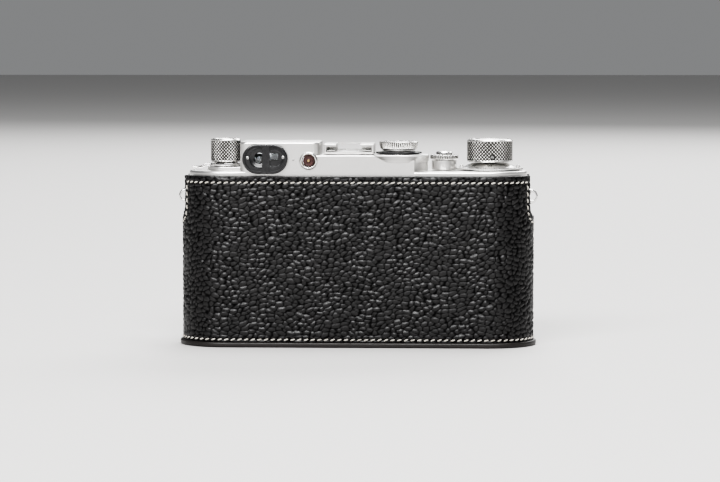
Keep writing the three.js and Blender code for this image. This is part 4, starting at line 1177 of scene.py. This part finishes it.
def diopter_lever():
    x = REWIND_AT[0]
    profile = [(5.2, 71.5), (6.6, 71.5), (6.6, 72.5), (5.2, 72.5), (5.2, 71.5)]
    ring = lathe("diopter_ring", profile, "bright", REWIND_AT, sides=72, soft=0.2)
    side = [(-13.4, 70.5), (-9.4, 70.5), (-7.9, 71.5), (-5.8, 71.5), (-5.8, 72.45), (-8.3, 72.4),
            (-9.8, 71.3), (-13.4, 71.3)]
    outline = rounded([(x + across, z) for across, z in side], 0.3, closed=True)
    arm = loft("diopter_arm", outline, edge_levels(-2.4, 2.4, 0.25, 0.25, 3), "bright", "Y")
    # Painted shade: dark lines across the lever's top stand for the grooves between its ribs.
    rows = [x - 13.0 + 0.55 * k for k in range(6)]
    marks = [((row, -1.9, 71.3), (row, 1.9, 71.3), UP) for row in rows]
    ribs = strokes("diopter_ribs", marks, width=0.18, thick=0.04)
    stand_in(crisp(joined("diopter_lever_ribbed", [ring, arm, ribs])), "diopter_lever")


def wind_knob():
    bottom, top = ranges("wind_knob")[2]
    radius, bore = 9.18, 2.5
    corners = [(bore, bottom), (radius - 0.4, bottom), (radius, bottom + 0.4), (radius, top - 0.7),
               (radius - 0.7, top - 0.2), (7.6, top), (7.6, top - 1.2), (bore, top - 1.2)]
    knurl = diamond_knurl(radius, 1.42, 0.36, bottom + 0.55, top - 0.8)
    knob = gripped("wind_grip", corners, "knurl", WIND_AT, 416, knurl, (bottom + 0.4, top - 0.7, 0.18))
    repaint(knob, "bright", WIND_AT, [(radius - 0.75, 0)])
    seat = hole((0, 0), 1.05, 0, 9, "Y", 32)
    screw = slotted_screw("wind_set_screw", (0, 0, 0), 0.9, -1, 1.1)
    for obj, out in ((seat, 12), (screw, 7.9)):
        moved(obj, (WIND_AT[0], WIND_AT[1] - out, 75.3))
        turned_about(obj, 0.143, "Z", (*WIND_AT, 0))
    stand_in(joined("wind_knob_knurled", [carve(knob, seat), screw]), "wind_knob")


def film_reminder():
    """A plain disc in the knob's top with a ring of figures."""
    bottom, top = ranges("film_reminder_disc")[2]
    profile = [(0, bottom), (7.3, bottom), (7.3, top - 0.25), (6.9, top - 0.12), (2.0, top - 0.06),
               (1.8, top), (0, top)]
    disc = lathe("reminder", profile, "satin", WIND_AT, soft=0.08)
    speeds = ("10", "16", "20", "32", "50", "100", "200")
    marks = dial_marks(WIND_AT, speeds, 5.2, top - 0.09, 90, -360 / len(speeds))
    stand_in(joined("reminder_disc_marked", [disc, figures("reminder_figures", marks, 1.35)]),
             "film_reminder_disc")


def counter_dial():
    corners = [(2.5, 70.2), (13.35, 70.2), (13.35, 70.9), (10.4, 71.1), (7.3, 72.7), (2.5, 72.7)]
    ribs = ribbed(120, 0.14, 70.25, 70.95, 13.0)
    dial = gripped("counter", corners, "satin", WIND_AT, 480, ribs, (70.2, 70.9, 0.15))
    lines = dial_ticks(WIND_AT, [90 - 9 * k for k in range(40)], (10.6, 71.1), (12.7, 70.97))
    counts = [str(k) for k in range(0, 40, 5)]
    marks = dial_marks(WIND_AT, counts, 8.9, 71.93, 90, -45, math.atan2(1.6, 3.1))
    pins = []
    for angle in (-0.12, math.pi + 0.12):
        place, _ = round_the_dial(WIND_AT, 11.4, 0, math.degrees(angle))
        ball = [(0.7 * math.cos(a), 71.5 + 0.6 * math.sin(a)) for a in np.linspace(-0.7, math.pi / 2, 8)[:-1]]
        profile = [(0, 70.6), (0.55, 70.6), (0.5, 71.05), *ball, (0, 72.1)]
        pins.append(lathe("counter_pin", profile, "bright", place[:2], sides=28, soft=0.02))
    stand_in(joined("counter_dial_marked", [dial, strokes("counter_lines", lines, width=0.14),
                                            figures("counter_figures", marks, 1.5), *pins]),
             "frame_counter_dial")


def speed_dial():
    top = ranges("speed_dial")[2][1]
    face = top + 0.01
    corners = [(2.8, 77.6), (6.6, 77.6), (6.6, 78.1), (7.3, 78.4), (7.75, 80.3), (7.9, top - 0.35),
               (7.55, top), (0, top), (0, top - 1.2), (2.8, top - 1.2)]
    ribs = ribbed(60, 0.3, 78.5, top - 0.25, 7.2)
    dial = gripped("dial", corners, "knurl", DIAL_AT, 480, ribs, (78.4, top - 0.3, 0.2))
    repaint(dial, "satin", DIAL_AT, [(7.35, 0)])
    speeds = ("20", "30", "40", "60", "100", "200", "500", "1000")
    marks = dial_marks(DIAL_AT, speeds, 5.5, face, 200, -40)
    lines = dial_ticks(DIAL_AT, [200 - 40 * k for k in range(len(speeds))], (6.6, face), (7.4, face))
    lines += arrow_marks(DIAL_AT, face, 1.6, 2.6, (1.6, 0.9))
    seat = moved(hole((0, 0), 0.5, 0, 3, "Y", 24), (DIAL_AT[0] - 2.8, DIAL_AT[1] - 9, 80.2))
    stand_in(joined("speed_dial_marked", [carve(dial, seat), strokes("dial_lines", lines),
                                          figures("dial_figures", marks, 1.15)]), "speed_dial")


def sync_ring():
    bottom, top = ranges("flash_sync_ring")[2]
    corners = [(2.9, bottom), (9.25, bottom), (9.25, top - 0.15), (8.9, top), (2.9, top)]
    ribs = ribbed(90, 0.12, bottom + 0.05, top + 0.1, 8.95)
    ring = gripped("sync", corners, "enamel", DIAL_AT, 360, ribs, (bottom, top, 0.15), soft=0.08)
    lines = []
    for k in range(21):
        inner = 8.4 if k % 5 else 8.1
        lines += dial_ticks(DIAL_AT, [-170 + 9 * k], (inner, top), (8.85, top))
    lines = strokes("sync_lines", lines, "thread", 0.12)
    stand_in(joined("sync_ring_marked", [ring, lines]), "flash_sync_ring")


def shutter_release():
    bore = 3.63
    bottom, top = ranges("release_barrel")[2]
    profile = [(bore, 71.2), (1.9, 71.2), (1.9, bottom), (4.98, bottom), (4.98, top), (bore, top),
               (bore, 71.2)]
    stand_in(lathe("barrel", profile, "satin", RELEASE_AT, soft=0.15), "release_barrel")
    bottom, top = ranges("release_collar")[2]
    corners = [(bore, bottom), (5.2, bottom), (5.65, bottom + 0.45), (5.65, top - 0.3), (5.35, top),
               (bore, top)]
    ribs, rows = ribbed(48, 0.2, bottom + 0.3, top - 0.05, 5.3), (bottom + 0.45, top - 0.3, 0.18)
    stand_in(gripped("collar", corners, "knurl", RELEASE_AT, 320, ribs, rows, soft=0.1), "release_collar")
    bottom, top = ranges("release_button")[2]
    profile = [(0, bottom), (1.5, bottom), (1.5, 74), (3.33, 74), (3.33, top - 0.4), (2.83, top),
               (1.3, top - 0.35), (0.9, top - 0.5), (0.9, top - 2), (0, top - 2)]
    stand_in(lathe("button", profile, "bright", RELEASE_AT, sides=72, soft=0.14), "release_button")


def rewind_release_lever():
    (x, y), base, top = LEVER_AT, 70.1, 71.4
    foot = ranges("rewind_release_lever")[2][0]
    profile = [(0, foot), (0.9, foot), (0.9, base), (1.9, base), (1.9, top - 0.2), (1.5, top), (0, top)]
    hub = lathe("hub", profile, "bright", LEVER_AT, sides=48)
    # Painted shade: a dark strip on the hub's top stands for its slot.
    cleft = strokes("hub_slot", [((x - 1.3, y, top), (x + 1.3, y, top), UP)], width=0.3)
    outline = slot_outline(3.1, 0.9, x - 3.1, y, 12)
    arm = loft("arm", outline, edge_levels(base, base + 0.8, 0.1, 0.2), "bright")
    profile = [(0, base), (1.3, base), (1.3, base + 1.4), (1.0, base + 1.7), (0, base + 1.6)]
    finger = lathe("finger", profile, "bright", (x - 6.2, y), sides=40, soft=0.15)
    stand_in(joined("rewind_release_lever_turned", [hub, arm, finger, cleft]), "rewind_release_lever")


def slow_speed_dial():
    _, (rear, front), _ = ranges("slow_speed_dial")
    x, z = SLOW_AT
    corners = [(0, rear), (5.6, rear), (6.2, 17.0), (6.2, front - 0.6), (5.6, front), (2.2, front),
               (2.0, front - 0.2), (0, front - 0.2)]
    ribs, rows = ribbed(64, 0.2, 17.1, front - 0.5, 6.0), (17.0, front - 0.6, 0.2)
    dial = gripped("slow_dial", corners, "knurl", SLOW_AT, 320, ribs, rows, "Y", closed=False)
    marks = []
    for k, text in enumerate(("1", "2", "4", "8", "20")):
        across, up = math.cos(math.radians(150 - 50 * k)), math.sin(math.radians(150 - 50 * k))
        marks.append((text, (x + 4.0 * across, front + 0.005, z + 4.0 * up), (up, 0, -across), AHEAD))
    screw = slotted_screw("slow_dial_screw", (x, front - 0.25, z), 1.5, 1, 0.8)
    stand_in(joined("slow_dial_marked", [dial, figures("slow_figures", marks, 1.5), screw]),
             "slow_speed_dial")
    profile = [(0, 14.6), (7.6, 14.6), (7.6, 15.9), (7.2, 16.25), (0, 16.25)]
    seat = lathe("slow_dial_plate", profile, "satin", SLOW_AT, "Y", soft=0.15)
    pointer = strokes("slow_pointer", [((x, 16.27, z + 6.35), (x, 16.27, z + 7.3), AHEAD)], width=0.3)
    trim_on(joined("slow_dial_seat", [seat, pointer]), "lens_flange")


# ---------------------------------------------------------------- body

def camera_body():
    bottom, top = ranges("body_covering")[2]
    skin = loft("covering", outline_body(15.0, 48), edge_levels(bottom, top, 0.15, 0.15, 2), "vulcanite")
    inside = loft("inside", outline_body(14.2, 48), [(bottom - 1, 0), (top + 1, 0)], "vulcanite")
    stand_in(crisp(carve(skin, inside, hole(LENS_AT, 19.2, 5, 20, "Y", 128))), "body_covering")


def base_plate():
    bottom, top = ranges("base_plate")[2]
    key, bush = (middle(node).x for node in ("base_lock_key", "base_tripod_bush"))
    base = loft("base", outline_body(COVER_R), edge_levels(bottom, top, 0.8, 0.15), "satin")
    inside = loft("inside", outline_body(14.2), [(6.5, 0), (top + 1, 0)], "satin")
    carve(base, inside, hole((key, 0), 8.3, 4, 8, sides=72), hole((bush, 0), 5.9, 4, 8, sides=64))
    stand_in(crisp(base), "base_plate")
    profile = [(0, 5.9), (8, 5.9), (8, 6.8), (9.6, 6.8), (9.6, 7.8), (2.5, 7.8), (2.5, 12), (0, 12)]
    disc = lathe("key_disc", profile, "satin", (key, 0))
    bar = box_piece("key_bar", (key - 6, key + 6), (-1.2, 1.2), (5.4, 6.0), "bright", 0.2)
    marks = [((key + side * 4.6, 2.6, 5.88), (key + side * 4.6, 5.2, 5.88), DOWN) for side in (-1, 1)]
    lines = strokes("key_lines", marks, width=0.25)
    stand_in(crisp(joined("lock_key_turned", [disc, bar, lines])), "base_lock_key")
    profile = [(3.2, 5.3), (5.6, 5.3), (5.6, 6.8), (7, 6.8), (7, 8), (5.6, 8), (5.6, 10.5), (3.2, 10.5),
               (3.2, 5.3)]
    stand_in(lathe("bush", profile, "brass", (bush, 0), sides=72), "base_tripod_bush")


# ---------------------------------------------------------------- lens

def lens_lathe(name, profile, paint="lens_chrome", sides=144, soft=0.12):
    return lathe(name, profile, paint, LENS_AT, "Y", sides, soft)


def on_lens(radius, y, angle):
    """A place on a circle about the lens axis, in degrees from its top, and the outward direction there."""
    across, up = math.sin(math.radians(angle)), math.cos(math.radians(angle))
    return (LENS_AT[0] + radius * across, y, LENS_AT[1] + radius * up), (across, 0, up)


def lens_line(angle, start, end, facing=AHEAD):
    """A mark between two (radius, y) places at one angle."""
    return on_lens(*start, angle)[0], on_lens(*end, angle)[0], facing


def lens_ring_figures(name, texts, radius, y, size, first, step, tilt=0.0):
    """Figures round the lens that read from the front, tops outwards."""
    marks = []
    for k, text in enumerate(texts):
        place, out = on_lens(radius, y, first + step * k)
        facing = (out[0] * math.sin(tilt), math.cos(tilt), out[2] * math.sin(tilt))
        marks.append((text, place, (-out[2], 0, out[0]), facing))
    return figures(name, marks, size)


def lens_mount():
    profile = [(17.6, 13.2), (18.1, 13.2), (18.1, 15.3), (21.5, 15.3), (22, 15.8), (22, 19.4), (21.6, 19.8),
               (19.2, 19.8), (19.2, 16.3), (17.6, 16.3), (17.6, 13.2)]
    screws = [slotted_screw("flange_screw", on_lens(20.6, 19.78, 45 + 90 * k)[0], 0.8, 1, 0.5 + k)
              for k in range(4)]
    stand_in(joined("flange_screwed", [lens_lathe("flange", profile), *screws]), "lens_flange")
    corners = [(16.4, 16.6), (18.9, 16.6), (18.9, 20.1), (24, 20.1), (24, 22.3), (23.5, 22.8), (16.4, 22.8)]
    ribs = ribbed(120, 0.18, 20.35, 22.25, 23.7)
    base = gripped("mount", corners, "lens_chrome", LENS_AT, 480, ribs, (20.3, 22.2, 0.25), "Y")
    marker = strokes("mount_marker", [lens_line(0, (23.35, 22.82), (20.9, 22.82))], width=0.3)
    stand_in(joined("mount_ribbed", [base, marker]), "lens_mount_base")


def focus_ring():
    bore, turn = 16.4, 0.87
    profile = [(bore, 23.1), (22.6, 23.1), (23.2, 23.7), (23.2, 26.8), (20.6, 28), (bore, 28), (bore, 23.1)]
    grip = lens_lathe("grip", profile, sides=192)
    across, up = math.cos(turn), math.sin(turn)
    spoke = [(LENS_AT[0] + x * across + z * up, LENS_AT[1] - x * up + z * across)
             for x, z in slot_outline(3.6, 2.9, 23.0, 0, 20)]
    lever = loft("lever", spoke[::-1], edge_levels(23.7, 26.4, 0.5, 0.5), "lens_chrome", "Y")
    button = middle("infinity_lock_button")
    carve(lever, hole((button.x, button.z), 1.2, 20, 30, "Y", 32), hole(LENS_AT, bore + 1, 20, 30, "Y", 96))
    slope = math.pi / 2 - math.atan2(2.6, 1.2)
    metres = ("1", "1.25", "1.5", "2", "3", "5", "10", "20")
    numbers = lens_ring_figures("distances", metres, 21.9, 27.42, 1.5, -72, 18, slope)
    marks = [lens_line(-72 + 4.5 * k, (22.75, 27.03), (23.15, 26.85)) for k in range(29)]
    ticks = strokes("focus_ticks", marks, width=0.14)
    stand_in(crisp(joined("focus_ring_marked", [grip, lever, numbers, ticks])), "focus_ring")
    corners = [(0, 24.4), (0.9, 24.4), (0.9, 27.7), (2.6, 27.7), (2.6, 30.0), (2.1, 30.4), (0, 30.2)]
    ribs, rows = ribbed(32, 0.16, 27.8, 29.9, 2.4), (27.7, 30.0, 0.2)
    knob = gripped("lock_knob", corners, "knurl", (button.x, button.z), 128, ribs, rows, "Y", closed=False)
    stand_in(knob, "infinity_lock_button")


def helix_barrel():
    profile = [(15.3, 10), (16.1, 10), (16.1, 28.3), (18.4, 28.3), (18.9, 28.8), (18.9, 30.6), (18.5, 31),
               (13.6, 31), (13.6, 29.2), (15.3, 29.2), (15.3, 10)]
    marks = [lens_line(9 * k, (18.3, 31.02), (17.2 if k % 3 else 16.6, 31.02)) for k in range(-6, 7)]
    depths = [lens_ring_figures("depths", texts, 15.5, 31.01, 1.1, first, 18)
              for texts, first in ((("16", "8", "4"), -54), (("4", "8", "16"), 18))]
    barrel, lines = lens_lathe("helix", profile), strokes("depth_lines", marks, width=0.14)
    stand_in(joined("helix_marked", [barrel, lines, *depths]), "lens_helix_barrel")


def lens_tube():
    profile = [(12.2, 11), (13.2, 11), (13.2, 47), (16.6, 47), (17.2, 47.6), (17.2, 51.6), (15.6, 51.6),
               (15.6, 55.6), (17.2, 55.6), (17.2, 56.6), (16.8, 57), (13.6, 57), (12.9, 54.4), (12.2, 54.4),
               (12.2, 11)]
    tube = lens_lathe("tube", profile, sides=160, soft=0.15)
    bore, cone_round_front_glass = (12.4, 0), (13.62, 54.0)
    repaint(tube, "matt_black", LENS_AT, [bore, cone_round_front_glass], "Y")
    index = strokes("index_dot", [lens_line(0, (17.22, 50.2), (17.22, 51.4), UP)], width=0.3)
    stops = lens_ring_figures("stops", ("3.5", "4", "5.6", "8", "11", "16"), 15.2, 57.01, 1.25, -50, 20)
    stand_in(joined("lens_tube_marked", [tube, index, stops]), "lens_tube")


def aperture_ring():
    corners = [(15.9, 51.9), (17.45, 51.9), (17.6, 52.1), (17.6, 55.1), (17.45, 55.3), (15.9, 55.3)]
    ribs = ribbed(120, 0.2, 52.2, 55.0, 17.3)
    ring = gripped("aperture_grip", corners, "knurl", LENS_AT, 600, ribs, (52.1, 55.1, 0.2), "Y", soft=0.06)
    tab = box_piece("tab", (17.2, 19.4), (52.6, 54.6), (-1.2, 1.2), "bright", 0.3)
    moved(turned_about(tab, -2.2, "Y"), placed(LENS_AT, "Y"))
    stand_in(joined("aperture_ring_ribbed", [ring, tab]), "aperture_ring")


def iris():
    """Ten thin blades that overlap round the opening."""
    _, (rear, front), _ = ranges("iris_diaphragm")
    blades, rows, sides = 10, 9, 200
    angle, row = np.meshgrid(2 * math.pi * np.arange(sides) / sides, np.arange(rows))
    radius = 5.5 + 6.4 * row / (rows - 1)
    overlap = 0.30 * ((angle * blades / (2 * math.pi) + row * 0.09) % 1)
    x, z = LENS_AT[0] + radius * np.cos(angle), LENS_AT[1] + radius * np.sin(angle)
    sides_y = (front - 0.32 + overlap, np.full_like(overlap, rear))
    verts = np.concatenate([np.stack([x, y, z], axis=-1).reshape(-1, 3) for y in sides_y])
    one_side = rows * sides
    faces = [(a, d, c, b) for a, b, c, d in ring_faces(0, sides, rows)]
    faces += ring_faces(one_side, sides, rows)
    for first in (0, one_side - sides):
        for k in range(sides):
            here, ahead = first + k, first + (k + 1) % sides
            faces.append((here, ahead, ahead + one_side, here + one_side))
    blade_ring = object_from("iris_blades", verts, faces, "matt_black", raised=np.ones(len(verts)))
    stand_in(tidy(blade_ring, 12), "iris_diaphragm")


def lens_glasses():
    radius = 11.9
    for node, edge_share in (("rear_lens_element", 0.6), ("front_lens_element", 0.54)):
        _, (rear, front), _ = ranges(node)
        edge = rear + (front - rear) * edge_share
        turn = np.linspace(0, math.pi / 2, 16)[:-1]
        dome = [(radius * math.cos(a), edge + (front - edge) * math.sin(a)) for a in turn]
        profile = [(0, rear + 0.5), (radius * 0.5, rear + 0.35), (radius, rear), *dome, (0, front)]
        stand_in(lens_lathe(node + "_glass", profile, "lens_glass", 96, 0.02), node)


# ---------------------------------------------------------------- stage, light and camera

def plain_stage():
    mesh = bpy.data.meshes.new("floor")
    reach = 12
    corners = [(-reach, -reach, 0), (reach, -reach, 0), (reach, reach, 0), (-reach, reach, 0)]
    mesh.from_pydata(corners, [], [(0, 1, 2, 3)])
    mesh.materials.append(PAINTS["floor"])
    floor = link(bpy.data.objects.new("floor", mesh))
    floor.location.z = -0.0003


def area_light(name, place, size, power):
    lamp = bpy.data.lights.new(name, "AREA")
    lamp.shape = "RECTANGLE"
    lamp.size, lamp.size_y = size
    lamp.energy = power
    holder = link(bpy.data.objects.new(name, lamp))
    holder.location = place
    aim = Vector((0, 0, 0.04)) - Vector(place)
    holder.rotation_euler = aim.to_track_quat("-Z", "Y").to_euler()


def lights():
    world = bpy.data.worlds.new("studio")
    world.use_nodes = True
    background = world.node_tree.nodes["Background"]
    background.inputs["Color"].default_value = (0.80, 0.81, 0.82, 1)
    background.inputs["Strength"].default_value = 0.27
    bpy.context.scene.world = world
    area_light("key", (-0.30, -2.10, 1.55), (2.4, 0.8), 105.0)
    area_light("top", (0.30, 0.30, 2.7), (2.4, 1.5), 70.0)
    area_light("back", (0.60, 2.20, 1.5), (2.1, 1.0), 45.0)


def camera():
    lens = bpy.data.cameras.new("camera")
    lens.lens = 136.4
    lens.sensor_width = 36
    lens.dof.use_dof = False
    holder = link(bpy.data.objects.new("camera", lens))
    target = Vector((0.83, 0, 41.1)) * MM
    azimuth, elevation, distance = math.radians(2.5), math.radians(4.0), 1.1
    level = math.cos(elevation)
    back = Vector((math.sin(azimuth) * level, -math.cos(azimuth) * level, math.sin(elevation)))
    holder.location = target + back * distance
    holder.rotation_euler = (-back).to_track_quat("-Z", "Y").to_euler()
    scene = bpy.context.scene
    scene.camera = holder
    scene.view_settings.view_transform = "AgX"
    scene.view_settings.look = "AgX - High Contrast"


def finish_nodes():
    """The pieces whose CAD shape is kept get their finish."""
    finish = {
        "case_board": "board", "bush_brass": "brass", "body_alloy": "alloy", "vulcanite": "vulcanite",
        "cover_chrome": "satin", "bright_chrome": "satin", "black_enamel": "matt_black", "steel": "steel",
        "brass": "brass", "lens_chrome": "lens_chrome", "glass": "glass", "curtain_cloth": "cloth",
        "case_leather": "leather", "case_suede": "suede",
    }
    for name, node in frame["nodes"].items():
        node.data.materials.clear()
        node.data.materials.append(PAINTS[finish[SLOT_OF[name]]])
        smooth(node.data, 25)


for make in (
    camera, lights, plain_stage, finish_nodes, leather_case, case_sole, stitches, camera_body, base_plate,
    top_cover, eyepiece, eyepiece_glasses, flash_socket, accessory_shoe, strap_lugs, front_windows,
    rewind_knob, diopter_lever, wind_knob, film_reminder, counter_dial, speed_dial, sync_ring,
    shutter_release, rewind_release_lever, slow_speed_dial, lens_mount, focus_ring, helix_barrel, lens_tube,
    aperture_ring, iris, lens_glasses,
):
    make()
